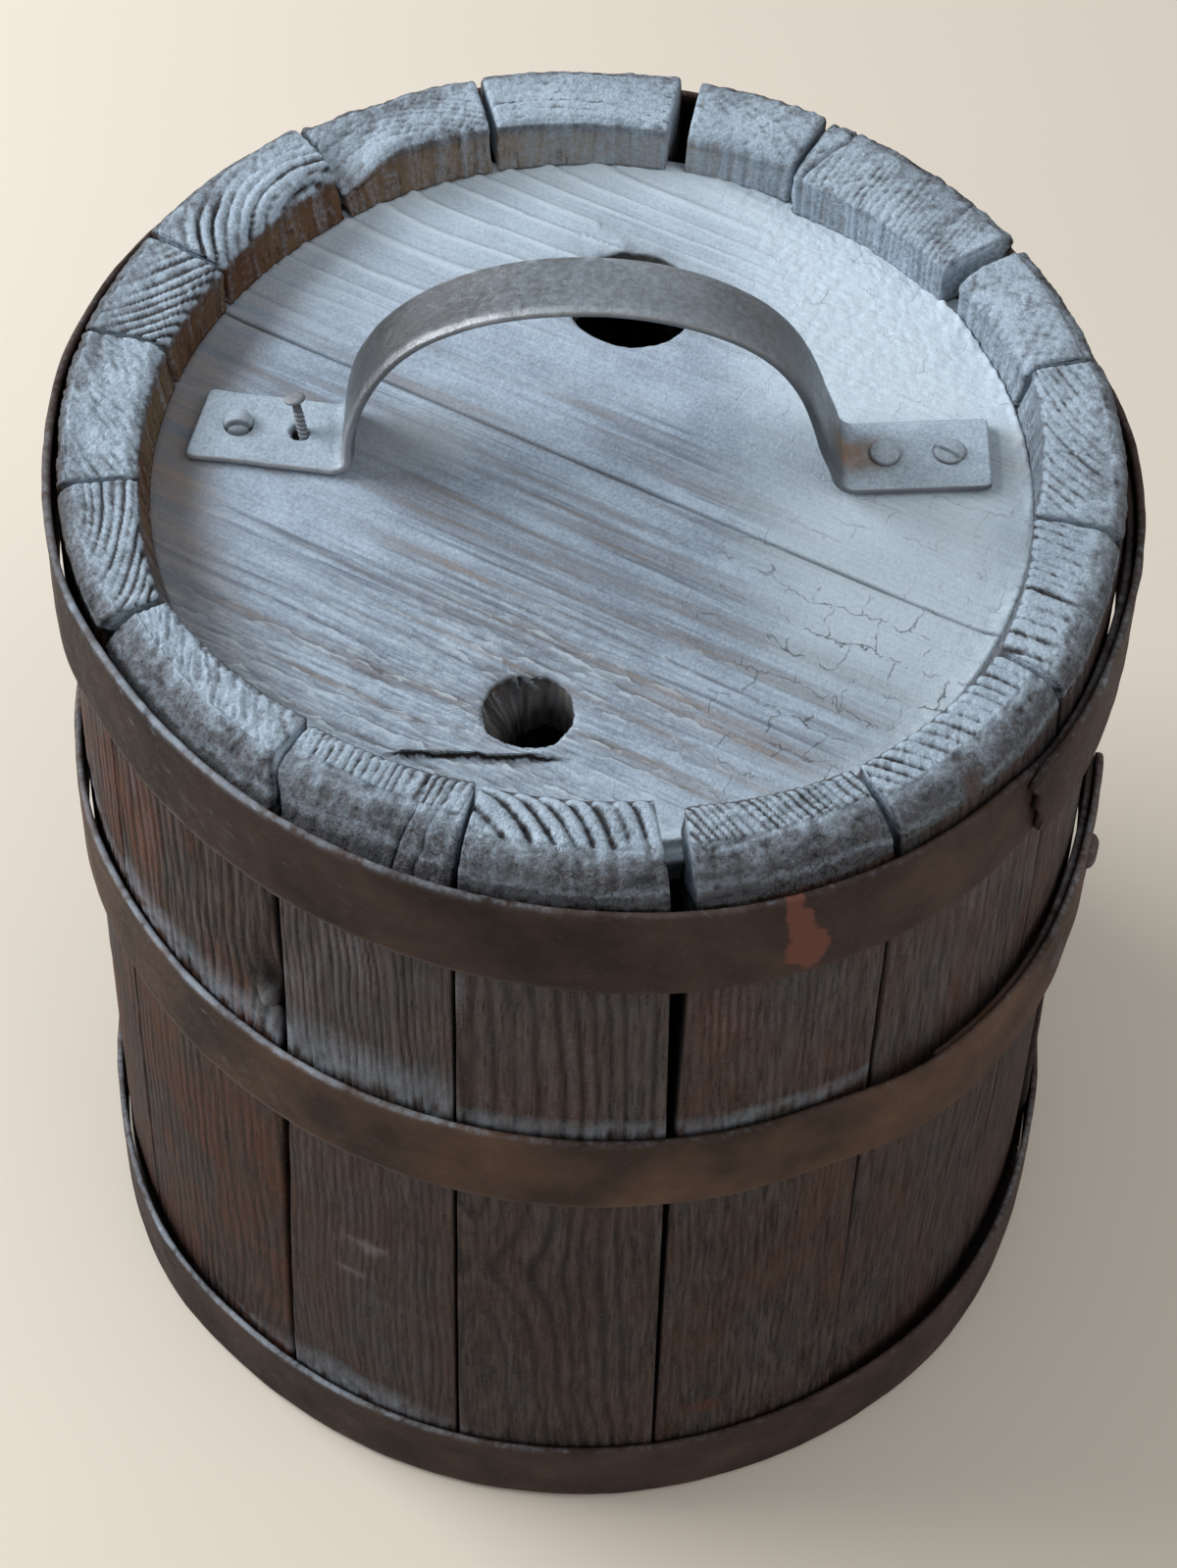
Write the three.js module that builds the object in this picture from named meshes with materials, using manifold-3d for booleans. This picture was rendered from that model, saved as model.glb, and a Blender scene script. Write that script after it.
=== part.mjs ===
// A small coopered wine keg: sixteen tapered staves held by three lapped iron hoops,
// two boarded heads seated in croze grooves, and a bent strap handle on the upper head.
// Millimetres, +Z up, the origin on the floor at the keg's axis, the spout hole towards -Y.
import * as THREE from 'three';
import { mergeVertices } from 'three/addons/utils/BufferGeometryUtils.js';
import Module from 'manifold-3d';

const wasm = await Module();
wasm.setup();

// Staves
const STAVE_LENGTH = 284;
const RIM_RADIUS = 116.3;
const FOOT_RADIUS = 133;
const STAVE_THICKNESS = 20.5;
const RIM_ROUND = 8;
const RIM_BEVEL = 1.5;
const FOOT_CHAMFER = 2;
const STAVE_STEP = 6;

// Seams between the staves, by bearing from +X, with the gap left by drying at rim, waist and foot
const SEAMS = [
  { bearing: 13.5, rim: 0.7, waist: 0.6, foot: 0.6 },
  { bearing: 33, rim: 4.2, waist: 1.8, foot: 0.6 },
  { bearing: 62, rim: 1, waist: 0.8, foot: 0.6 },
  { bearing: 79.5, rim: 4.2, waist: 1.8, foot: 0.6 },
  { bearing: 105, rim: 1, waist: 0.8, foot: 0.6 },
  { bearing: 127.5, rim: 1, waist: 0.8, foot: 0.6 },
  { bearing: 150.5, rim: 0.7, waist: 0.6, foot: 0.6 },
  { bearing: 166, rim: 0.7, waist: 0.6, foot: 0.6 },
  { bearing: 188.5, rim: 1, waist: 0.8, foot: 0.6 },
  { bearing: 208, rim: 0.7, waist: 0.6, foot: 0.6 },
  { bearing: 234.3, rim: 1.2, waist: 2.2, foot: 0.6 },
  { bearing: 257, rim: 0.8, waist: 0.8, foot: 0.8 },
  { bearing: 280, rim: 4.8, waist: 1.6, foot: 0.6 },
  { bearing: 302.5, rim: 0.9, waist: 0.8, foot: 0.6 },
  { bearing: 327, rim: 0.7, waist: 0.6, foot: 0.6 },
  { bearing: 348.5, rim: 0.7, waist: 0.6, foot: 0.6 },
];

// Heads and the croze grooves that hold them
const HEAD_RECESS = 15;
const HEAD_THICKNESS = 16;
const HEAD_TONGUE = 7;
const HEAD_BEVEL_RUN = 10;
const CROZE_DEPTH = 4.5;
const HEAD_PLAY = 0.5;
const BOARD_GAP = 0.7;
const TOP_SEAM_TURN = -27;
const TOP_SEAM_OFFSET = 2.5;
const BASE_SEAM_TURN = 38;
const BASE_SEAM_OFFSET = -4;
const DOWEL_DIAMETER = 6;
const DOWEL_LENGTH = 36;
const DOWEL_SPACING = 84;

// Holes in the upper head, each by its bearing and its distance in from the wall
const BUNG_DIAMETER = 30;
const BUNG_BEARING = 81.5;
const BUNG_INSET = 42;
const SPOUT_DIAMETER = 19.5;
const SPOUT_BEARING = 259;
const SPOUT_INSET = 32;

// Hoops
const HOOP_WIDTH = 27.5;
const HOOP_THICKNESS = 1.8;
const TOP_HOOP_DROP = 7.5;
const TOP_HOOP_ASKEW = 4.5;
const TOP_HOOP_HIGH_SIDE = 180;
const HOOP_SPACING = 60.5;
const BOTTOM_HOOP_LIFT = 1.5;
const LAP_LENGTH = 96;
const LAP_RAMP = 15;
const RIVET_DIAMETER = 4;
const RIVET_HEAD_DIAMETER = 9;
const RIVET_HEAD_HEIGHT = 2.4;

// Where the free end of each hoop's lap lies, and how far back from it the rivets are
const TOP_LAP_END = -40;
const MIDDLE_LAP_END = -5;
const BOTTOM_LAP_END = 155;
const TOP_LAP_RIVETS = [70, 88];
const LAP_RIVETS = [22, 52];

// Strap handle
const STRAP_WIDTH = 20;
const STRAP_THICKNESS = 2.5;
const HANDLE_FOOT = 30;
const HANDLE_END_CLEARANCE = 9.2;
const HANDLE_SETBACK = 7;
const HANDLE_SLANT = 0.0165;
const FOOT_SPLAY = 0.1;
const ARCH_RISE = 52;
const BEND_RADIUS = 4;
const OUTER_FIXING_INSET = 9;
const INNER_FIXING_INSET = 23.3;

// Handle fixings
const SCREW_DIAMETER = 3.6;
const SCREW_LENGTH = 13;
const DOME_HEAD_DIAMETER = 7.6;
const DOME_HEAD_HEIGHT = 2.6;
const FLUSH_HEAD_DIAMETER = 7.4;
const FLUSH_HEAD_HEIGHT = 1.3;
const NAIL_HEAD_DIAMETER = 7.2;
const NAIL_HEAD_HEIGHT = 1.8;
const LOOSE_SCREW_DIAMETER = 2.2;
const LOOSE_SCREW_LENGTH = 20;
const LOOSE_HEAD_DIAMETER = 4.8;
const LOOSE_HEAD_HEIGHT = 1.3;
const LOOSE_SCREW_STANDS = 10;
const LOOSE_SCREW_LEAN = -11;
const SLOT_WIDTH = 0.9;
const SLOT_DEPTH = 0.8;
const LEFT_SLOT_TURN = 0;
const RIGHT_SLOT_TURN = -32;

// Clearance between pieces that bear on each other, and round faceting
const FIT = 0.3;
const HEAD_FACETS = 60;
const HOOP_FACETS = 72;
const HOLE_FACETS = 24;
const SMALL_FACETS = 12;
const ROUND_STEPS = 4;
const WELD = 1e-4;
const SAME_POINT = 0.1;

const WOOD = { color: 0x4a3c33, roughness: 0.85, metalness: 0 };
const HEAD_WOOD = { color: 0x8d949b, roughness: 0.9, metalness: 0 };
const IRON = { color: 0x3c2f2a, roughness: 0.5, metalness: 0.7 };
const STRAP_IRON = { color: 0x5d5a59, roughness: 0.5, metalness: 0.7 };

const radians = THREE.MathUtils.degToRad;

// Radius of the staves' outside and inside at a height
const outerRadius = (z) => FOOT_RADIUS + (RIM_RADIUS - FOOT_RADIUS) * (z / STAVE_LENGTH);
const innerRadius = (z) => outerRadius(z) - STAVE_THICKNESS;

// Levels worked out from the driving sizes
const topHeadFace = STAVE_LENGTH - HEAD_RECESS;
const baseHeadFace = HEAD_RECESS;
const topHoopFoot = STAVE_LENGTH - TOP_HOOP_DROP - HOOP_WIDTH;
const middleHoopFoot = topHoopFoot - HOOP_SPACING - HOOP_WIDTH;
const waistLevel = middleHoopFoot + HOOP_WIDTH / 2;
const strapFoot = topHeadFace + FIT;
const strapTop = strapFoot + STRAP_THICKNESS;
const headWallRadius = innerRadius(topHeadFace);
const handleReach = headWallRadius - HANDLE_END_CLEARANCE;

// Drops spare attributes and flat triangles, so that only a welded closed surface is left
function welded(geometry) {
  const bare = geometry.clone();
  bare.deleteAttribute('normal');
  bare.deleteAttribute('uv');
  const merged = mergeVertices(bare, WELD);
  const source = merged.index.array;
  const kept = [];
  for (let i = 0; i < source.length; i += 3) {
    const [a, b, c] = [source[i], source[i + 1], source[i + 2]];
    if (a !== b && b !== c && c !== a) kept.push(a, b, c);
  }
  merged.setIndex(kept);
  return merged;
}

function toSolid(geometry) {
  const shell = welded(geometry);
  return new wasm.Manifold(new wasm.Mesh({
    numProp: 3,
    vertProperties: new Float32Array(shell.attributes.position.array),
    triVerts: new Uint32Array(shell.index.array),
  }));
}

function toGeometry(solid) {
  const mesh = solid.getMesh();
  const geometry = new THREE.BufferGeometry();
  geometry.setAttribute('position', new THREE.BufferAttribute(mesh.vertProperties, 3));
  geometry.setIndex(new THREE.BufferAttribute(mesh.triVerts, 1));
  return geometry;
}

// Cuts every tool shape out of a body shape
function cut(body, tools) {
  return toGeometry(tools.reduce((solid, tool) => solid.subtract(toSolid(tool)), toSolid(body)));
}

function piece(name, geometry, finish) {
  const mesh = new THREE.Mesh(welded(geometry), new THREE.MeshStandardMaterial(finish));
  mesh.geometry.computeVertexNormals();
  mesh.name = name;
  return mesh;
}

// Carries a closed anticlockwise outline through a row of stations and closes both ends
function loft(outline, stations, place) {
  const size = outline.length;
  const positions = [];
  for (let s = 0; s < stations; s += 1) {
    for (let k = 0; k < size; k += 1) positions.push(...place(s, k));
  }
  const faces = [];
  for (let s = 0; s + 1 < stations; s += 1) {
    for (let k = 0; k < size; k += 1) {
      const a = s * size + k;
      const b = s * size + ((k + 1) % size);
      faces.push(a, a + size, b, b, a + size, b + size);
    }
  }
  const last = (stations - 1) * size;
  for (const [i, j, k] of THREE.ShapeUtils.triangulateShape(outline, [])) {
    faces.push(i, j, k, last + k, last + j, last + i);
  }
  const geometry = new THREE.BufferGeometry();
  geometry.setAttribute('position', new THREE.Float32BufferAttribute(positions, 3));
  geometry.setIndex(faces);
  return geometry;
}

// An upright cylinder from one height to another
function post(radius, low, high, facets) {
  const geometry = new THREE.CylinderGeometry(radius, radius, high - low, facets);
  return geometry.rotateX(Math.PI / 2).translate(0, 0, (low + high) / 2);
}

function atBearing(geometry, bearing, distance) {
  const angle = radians(bearing);
  return geometry.translate(distance * Math.cos(angle), distance * Math.sin(angle), 0);
}

// Staves
// The groove in the staves' inside for a head whose tongue lies between two heights
function crozeOutline(low, high) {
  return [
    new THREE.Vector2(innerRadius(high + FIT), high + FIT),
    new THREE.Vector2(innerRadius(high + FIT) + CROZE_DEPTH, high + FIT),
    new THREE.Vector2(innerRadius(low - FIT) + CROZE_DEPTH, low - FIT),
    new THREE.Vector2(innerRadius(low - FIT), low - FIT),
  ];
}

// Half section of a stave as radius and height: worn round at the rim, grooved for both heads
function staveOutline() {
  const roundLevel = STAVE_LENGTH - RIM_ROUND;
  const roundCentre = outerRadius(roundLevel) - RIM_ROUND;
  const outline = [
    new THREE.Vector2(innerRadius(0) + RIM_BEVEL, 0),
    new THREE.Vector2(outerRadius(0) - FOOT_CHAMFER, 0),
    new THREE.Vector2(outerRadius(FOOT_CHAMFER), FOOT_CHAMFER),
    new THREE.Vector2(outerRadius(waistLevel), waistLevel),
  ];
  for (let i = 0; i <= ROUND_STEPS; i += 1) {
    const angle = (i / ROUND_STEPS) * (Math.PI / 2);
    const radius = roundCentre + RIM_ROUND * Math.cos(angle);
    outline.push(new THREE.Vector2(radius, roundLevel + RIM_ROUND * Math.sin(angle)));
  }
  const bevelLevel = STAVE_LENGTH - RIM_BEVEL;
  outline.push(new THREE.Vector2(innerRadius(STAVE_LENGTH) + RIM_BEVEL, STAVE_LENGTH));
  outline.push(new THREE.Vector2(innerRadius(bevelLevel), bevelLevel));
  outline.push(...crozeOutline(topHeadFace - HEAD_TONGUE, topHeadFace));
  outline.push(new THREE.Vector2(innerRadius(waistLevel), waistLevel));
  outline.push(...crozeOutline(baseHeadFace, baseHeadFace + HEAD_TONGUE));
  outline.push(new THREE.Vector2(innerRadius(RIM_BEVEL), RIM_BEVEL));
  return outline;
}

function seamGap(seam, z) {
  if (z < waistLevel) return THREE.MathUtils.lerp(seam.foot, seam.waist, z / waistLevel);
  return THREE.MathUtils.mapLinear(z, waistLevel, STAVE_LENGTH, seam.waist, seam.rim);
}

// One stave between two seams, each edge standing back by half of its seam's gap
function stave(number, left, right) {
  const outline = staveOutline();
  const turn = (right.bearing - left.bearing + 360) % 360;
  const steps = Math.ceil(turn / STAVE_STEP);
  const geometry = loft(outline, steps + 1, (s, k) => {
    const { x: radius, y: z } = outline[k];
    const start = radians(left.bearing) + Math.asin(seamGap(left, z) / 2 / radius);
    const end = radians(left.bearing + turn) - Math.asin(seamGap(right, z) / 2 / radius);
    const angle = THREE.MathUtils.lerp(start, end, s / steps);
    return [radius * Math.cos(angle), radius * Math.sin(angle), z];
  });
  return piece(`stave_${String(number).padStart(2, '0')}`, geometry, WOOD);
}

// Heads
// A round head with its flat face at z = 0 and its other face bevelled to a tongue
function headDisc(radius) {
  const shoulder = radius - CROZE_DEPTH;
  const profile = [
    new THREE.Vector2(0, -HEAD_THICKNESS),
    new THREE.Vector2(shoulder - HEAD_BEVEL_RUN, -HEAD_THICKNESS),
    new THREE.Vector2(shoulder, -HEAD_TONGUE),
    new THREE.Vector2(radius, -HEAD_TONGUE),
    new THREE.Vector2(radius, 0),
    new THREE.Vector2(0, 0),
  ];
  return new THREE.LatheGeometry(profile, HEAD_FACETS).rotateX(Math.PI / 2);
}

// The straight edge that one board of a head has along the seam, as everything on its other side
function beyondSeam(radius, side, turn, offset) {
  const block = new THREE.BoxGeometry(4 * radius, 2 * radius, 4 * HEAD_THICKNESS);
  return block.translate(0, offset + side * (BOARD_GAP / 2 - radius), 0).rotateZ(radians(turn));
}

// A dowel across the seam, or with play the hole that takes it
function dowelShape(along, turn, offset, play) {
  const radius = DOWEL_DIAMETER / 2 + play;
  const shape = new THREE.CylinderGeometry(radius, radius, DOWEL_LENGTH + 2 * play, SMALL_FACETS);
  return shape.translate(along, offset, -HEAD_THICKNESS / 2).rotateZ(radians(turn));
}

const dowelPlaces = [-DOWEL_SPACING / 2, DOWEL_SPACING / 2];

// The two boards and two dowels of a head, laid out flat face up with that face at z = 0
function head(label, radius, turn, offset, holes) {
  const group = new THREE.Group();
  const disc = headDisc(radius);
  const dowelHoles = dowelPlaces.map((along) => dowelShape(along, turn, offset, FIT));
  for (const [name, side] of [['front', -1], ['back', 1]]) {
    const board = cut(disc, [beyondSeam(radius, side, turn, offset), ...dowelHoles, ...holes]);
    group.add(piece(`${label}_board_${name}`, board, HEAD_WOOD));
  }
  dowelPlaces.forEach((along, i) => {
    group.add(piece(`${label}_dowel_${i + 1}`, dowelShape(along, turn, offset, 0), WOOD));
  });
  return group;
}

// A hole right through a head that lies flat face up
const throughHole = (diameter) => post(diameter / 2, -2 * HEAD_THICKNESS, HEAD_THICKNESS, HOLE_FACETS);

function topHead() {
  const holes = [
    atBearing(throughHole(BUNG_DIAMETER), BUNG_BEARING, headWallRadius - BUNG_INSET),
    atBearing(throughHole(SPOUT_DIAMETER), SPOUT_BEARING, headWallRadius - SPOUT_INSET),
    ...fixings.map((fixing) => fixing.pilot()),
  ];
  const radius = headWallRadius + CROZE_DEPTH - HEAD_PLAY;
  const group = head('top', radius, TOP_SEAM_TURN, TOP_SEAM_OFFSET, holes);
  group.position.z = topHeadFace;
  return group;
}

function baseHead() {
  const radius = innerRadius(baseHeadFace + HEAD_TONGUE) + CROZE_DEPTH - HEAD_PLAY;
  const group = head('base', radius, BASE_SEAM_TURN, BASE_SEAM_OFFSET, []);
  group.rotation.y = Math.PI;
  group.position.z = baseHeadFace;
  return group;
}

// Hoops
// Each hoop by its foot level, how it sits, its lap and which way its strip runs to the free end
const HOOPS = [
  {
    name: 'top_hoop',
    foot: topHoopFoot,
    askew: TOP_HOOP_ASKEW,
    end: TOP_LAP_END,
    run: -1,
    rivets: TOP_LAP_RIVETS,
  },
  {
    name: 'middle_hoop',
    foot: middleHoopFoot,
    askew: 0,
    end: MIDDLE_LAP_END,
    run: 1,
    rivets: LAP_RIVETS,
  },
  {
    name: 'bottom_hoop',
    foot: BOTTOM_HOOP_LIFT,
    askew: 0,
    end: BOTTOM_LAP_END,
    run: 1,
    rivets: LAP_RIVETS,
  },
];

const hoopStep = 360 / Math.round(HOOP_FACETS);
const halfStep = Math.cos(radians(hoopStep / 2));
const layer = HOOP_THICKNESS + FIT;

function hoopLevel(hoop, bearing) {
  return hoop.foot + hoop.askew * Math.cos(radians(bearing - TOP_HOOP_HIGH_SIDE));
}

// Inside radius of a hoop's strip at a height, before any lift over the lap
const hoopRadius = (z) => (outerRadius(z) + FIT) / halfStep;

// Degrees that the lapped ends share
function lapTurn(hoop) {
  const arc = THREE.MathUtils.radToDeg(LAP_LENGTH / hoopRadius(hoop.foot));
  return Math.round(arc / hoopStep) * hoopStep;
}

// A strip that runs once round the cone and on over its own first end
function hoopStrip(hoop) {
  const lap = lapTurn(hoop);
  const steps = Math.round((360 + lap) / hoopStep);
  const section = [[0, 0], [1, 0], [1, 1], [0, 1]];
  const outline = section.map(([out, up]) => new THREE.Vector2(out, up));
  const low = hoop.run > 0 ? hoop.end - 360 - lap : hoop.end;
  return loft(outline, steps + 1, (s, k) => {
    const [out, up] = section[k];
    const turned = s * hoopStep;
    const bearing = low + turned;
    const travelled = hoop.run > 0 ? turned : 360 + lap - turned;
    const lift = layer * THREE.MathUtils.smoothstep(travelled, 360 - LAP_RAMP, 360);
    const z = hoopLevel(hoop, bearing) + up * HOOP_WIDTH;
    const radius = hoopRadius(z) + lift + out * HOOP_THICKNESS;
    return [radius * Math.cos(radians(bearing)), radius * Math.sin(radians(bearing)), z];
  });
}

// A rivet along +Z: its shank starts at z = 0 and its domed head sits above both layers
function rivetShape() {
  const seat = 2 * layer;
  const dome = domeProfile(RIVET_HEAD_DIAMETER / 2, seat, RIVET_HEAD_HEIGHT);
  const shank = RIVET_DIAMETER / 2;
  const stem = [new THREE.Vector2(0, 0), new THREE.Vector2(shank, 0), new THREE.Vector2(shank, seat)];
  const profile = [...stem, ...dome];
  return new THREE.LatheGeometry(profile, SMALL_FACETS).rotateX(Math.PI / 2);
}

// Half outline of a domed head, from the edge of its underside to the axis
function domeProfile(radius, seat, height) {
  const points = [];
  for (let i = 0; i <= ROUND_STEPS; i += 1) {
    const angle = (i / ROUND_STEPS) * (Math.PI / 2);
    points.push(new THREE.Vector2(radius * Math.cos(angle), seat + height * Math.sin(angle)));
  }
  points.at(-1).x = 0;
  return points;
}

// Turns a shape that stands along +Z to stand square on a hoop, and sets it on the inner face
function ontoHoop(shape, hoop, distance) {
  const level = hoop.foot + HOOP_WIDTH / 2;
  const back = THREE.MathUtils.radToDeg(distance / hoopRadius(level));
  const bearing = hoop.end - hoop.run * back;
  const z = hoopLevel(hoop, bearing) + HOOP_WIDTH / 2;
  const slope = Math.atan((FOOT_RADIUS - RIM_RADIUS) / STAVE_LENGTH);
  const upright = shape.rotateY(Math.PI / 2 - slope).translate(hoopRadius(z), 0, 0);
  return upright.rotateZ(radians(bearing)).translate(0, 0, z);
}

function hoop(entry) {
  const group = new THREE.Group();
  const reach = 3 * layer;
  const hole = () => post(RIVET_DIAMETER / 2 + FIT, -reach, reach, SMALL_FACETS);
  const holes = entry.rivets.map((distance) => ontoHoop(hole(), entry, distance));
  group.add(piece(entry.name, cut(hoopStrip(entry), holes), IRON));
  entry.rivets.forEach((distance, i) => {
    group.add(piece(`${entry.name}_rivet_${i + 1}`, ontoHoop(rivetShape(), entry, distance), IRON));
  });
  return group;
}

// Handle
// How far back the strap's middle lies at a place across the head: aslant, with its feet splayed to the back
function strapBack(x) {
  const pastBend = Math.max(Math.abs(x) - (handleReach - HANDLE_FOOT), 0);
  return HANDLE_SETBACK - HANDLE_SLANT * x + FOOT_SPLAY * pastBend;
}

// Middle line of the strap seen from the front: foot, bend, arch, bend, foot
function strapLine() {
  const middle = strapFoot + STRAP_THICKNESS / 2;
  const bendAt = handleReach - HANDLE_FOOT;
  const legAt = bendAt - BEND_RADIUS;
  const spring = middle + BEND_RADIUS;
  const rise = topHeadFace + ARCH_RISE - STRAP_THICKNESS / 2 - spring;
  const line = new THREE.Path();
  line.moveTo(-handleReach, middle);
  line.lineTo(-bendAt, middle);
  line.absarc(-bendAt, spring, BEND_RADIUS, -Math.PI / 2, 0, false);
  line.absellipse(0, spring, legAt, rise, Math.PI, 0, true);
  line.absarc(bendAt, spring, BEND_RADIUS, Math.PI, 1.5 * Math.PI, false);
  line.lineTo(handleReach, middle);
  const points = line.getPoints(HOLE_FACETS / 2);
  return points.filter((point, i) => i === 0 || point.distanceTo(points[i - 1]) > SAME_POINT);
}

// Both faces of the strap, half its thickness to each side of the middle line
function strapOutline() {
  const line = strapLine();
  const side = (sign) => line.map((point, i) => {
    const before = line[Math.max(i - 1, 0)];
    const after = line[Math.min(i + 1, line.length - 1)];
    const along = after.clone().sub(before).normalize();
    const across = new THREE.Vector2(-along.y, along.x);
    return point.clone().addScaledVector(across, (sign * STRAP_THICKNESS) / 2);
  });
  return [...side(-1), ...side(1).reverse()];
}

function strap() {
  const blank = new THREE.ExtrudeGeometry(new THREE.Shape(strapOutline()), {
    depth: STRAP_WIDTH,
    bevelEnabled: false,
    steps: 1,
  });
  blank.rotateX(Math.PI / 2).translate(0, STRAP_WIDTH / 2, 0);
  const corners = blank.getAttribute('position');
  for (let i = 0; i < corners.count; i += 1) {
    corners.setY(i, corners.getY(i) + strapBack(corners.getX(i)));
  }
  return piece('handle', cut(blank, fixings.map((fixing) => fixing.clearance())), STRAP_IRON);
}

// Fixings
// A pointed shank along +Z under a domed head whose underside is at z = 0
function fixingShape(shankDiameter, length, headDiameter, headHeight) {
  const shank = shankDiameter / 2;
  const profile = [
    new THREE.Vector2(0, -length),
    new THREE.Vector2(shank, -length + shankDiameter),
    new THREE.Vector2(shank, 0),
    ...domeProfile(headDiameter / 2, 0, headHeight),
  ];
  return new THREE.LatheGeometry(profile, SMALL_FACETS).rotateX(Math.PI / 2);
}

function slotted(shape, headDiameter, headHeight, turn) {
  const slot = new THREE.BoxGeometry(2 * headDiameter, SLOT_WIDTH, 2 * SLOT_DEPTH);
  return cut(shape, [slot.rotateZ(radians(turn)).translate(0, 0, headHeight)]);
}

// A fixing driven home through a foot of the strap
function drivenFixing(name, x, shape) {
  const hole = SCREW_DIAMETER / 2 + FIT;
  const place = (geometry, z) => geometry.translate(x, strapBack(x), z);
  const depth = SCREW_LENGTH - STRAP_THICKNESS + FIT;
  return {
    pilot: () => place(post(hole, -depth, HEAD_THICKNESS, SMALL_FACETS), 0),
    clearance: () => place(post(hole, -STRAP_THICKNESS, STRAP_THICKNESS, SMALL_FACETS), strapFoot),
    mesh: () => piece(name, place(shape(), strapTop + FIT), STRAP_IRON),
  };
}

// A thin screw that has worked out of its hole and leans
function looseFixing(name, x) {
  const lean = radians(LOOSE_SCREW_LEAN);
  const radius = LOOSE_SCREW_DIAMETER / 2;
  const inWood = LOOSE_SCREW_LENGTH - LOOSE_SCREW_STANDS;
  const strapHole = radius / Math.cos(lean) + STRAP_THICKNESS * Math.abs(Math.tan(lean)) + FIT;
  const place = (geometry, z) => geometry.rotateY(lean).translate(x, strapBack(x), z);
  const shape = () => fixingShape(
    LOOSE_SCREW_DIAMETER,
    LOOSE_SCREW_LENGTH,
    LOOSE_HEAD_DIAMETER,
    LOOSE_HEAD_HEIGHT,
  ).translate(0, 0, LOOSE_SCREW_STANDS);
  const topOfStrap = strapTop - topHeadFace;
  return {
    pilot: () => place(post(radius + FIT, -inWood - FIT, inWood, SMALL_FACETS), topOfStrap),
    clearance: () => post(strapHole, -STRAP_THICKNESS, STRAP_THICKNESS, SMALL_FACETS)
      .translate(x, strapBack(x), strapTop),
    mesh: () => piece(name, place(shape(), strapTop), STRAP_IRON),
  };
}

const outerFixing = handleReach - OUTER_FIXING_INSET;
const innerFixing = handleReach - INNER_FIXING_INSET;

const domeScrew = () => slotted(
  fixingShape(SCREW_DIAMETER, SCREW_LENGTH, DOME_HEAD_DIAMETER, DOME_HEAD_HEIGHT),
  DOME_HEAD_DIAMETER,
  DOME_HEAD_HEIGHT,
  LEFT_SLOT_TURN,
);
const flushScrew = () => slotted(
  fixingShape(SCREW_DIAMETER, SCREW_LENGTH, FLUSH_HEAD_DIAMETER, FLUSH_HEAD_HEIGHT),
  FLUSH_HEAD_DIAMETER,
  FLUSH_HEAD_HEIGHT,
  RIGHT_SLOT_TURN,
);
const roundNail = () => fixingShape(SCREW_DIAMETER, SCREW_LENGTH, NAIL_HEAD_DIAMETER, NAIL_HEAD_HEIGHT);

const fixings = [
  drivenFixing('handle_screw_left', -outerFixing, domeScrew),
  looseFixing('handle_screw_loose', -innerFixing),
  drivenFixing('handle_nail_right', innerFixing, roundNail),
  drivenFixing('handle_screw_right', outerFixing, flushScrew),
];

// Assembly
const keg = new THREE.Group();
SEAMS.forEach((seam, i) => keg.add(stave(i + 1, seam, SEAMS[(i + 1) % SEAMS.length])));
keg.add(topHead(), baseHead());
HOOPS.forEach((entry) => keg.add(hoop(entry)));
keg.add(strap());
fixings.forEach((fixing) => keg.add(fixing.mesh()));

export default keg;
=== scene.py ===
"""Looks of a small old wine keg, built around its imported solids.

Sizes are in millimetres and bearings in degrees from +X. A mesh is written in metres, in the frame
of the solids, so every piece sits where its solid does.
"""

import logging
from dataclasses import dataclass, field
from enum import Enum
from math import atan, cos, degrees, pi, radians, sin

import bmesh
import bpy
import numpy as np
from mathutils import Matrix, Vector


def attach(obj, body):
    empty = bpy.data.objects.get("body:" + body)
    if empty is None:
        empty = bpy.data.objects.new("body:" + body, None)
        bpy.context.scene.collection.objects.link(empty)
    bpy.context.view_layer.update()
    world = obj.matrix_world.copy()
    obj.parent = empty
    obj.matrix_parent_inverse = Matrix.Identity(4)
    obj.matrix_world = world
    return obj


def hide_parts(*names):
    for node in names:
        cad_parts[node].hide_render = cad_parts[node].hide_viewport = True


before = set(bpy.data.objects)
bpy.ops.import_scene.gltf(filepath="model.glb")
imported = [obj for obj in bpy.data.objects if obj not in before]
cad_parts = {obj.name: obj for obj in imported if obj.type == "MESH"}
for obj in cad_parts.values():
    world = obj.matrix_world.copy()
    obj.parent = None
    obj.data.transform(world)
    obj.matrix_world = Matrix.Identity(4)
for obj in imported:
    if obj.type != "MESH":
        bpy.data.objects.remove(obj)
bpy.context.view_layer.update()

log = logging.getLogger("keg")
Array = np.ndarray
Pair = tuple[float, float]
Triple = tuple[float, float, float]
Colour = Triple
Four = tuple[float, float, float, float]
Coat = Four
Bounds = tuple[int, int, int, int]
Arrays = tuple[Array, ...]
Material = bpy.types.Material
Socket = bpy.types.NodeSocket
MM = 0.001
HASH_I, HASH_J, HASH_SEED, HASH_STIR = 374761393, 668265263, 974711, 1274126177
WORD, HALF_WORD = 0xFFFFFFFF, 0xFFFF


class Body(Enum):
    """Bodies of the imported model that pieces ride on."""

    CASK = "cask"
    TOP_HOOP = "top_hoop"
    MIDDLE_HOOP = "middle_hoop"
    BOTTOM_HOOP = "bottom_hoop"


class Slot(Enum):
    """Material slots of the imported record."""

    STAVE = "stave_wood"
    HEAD = "head_wood"
    DOWEL = "dowel_wood"
    HOOP = "hoop_iron"
    STRAP = "strap_iron"
    FIXING = "fixing_iron"


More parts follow.
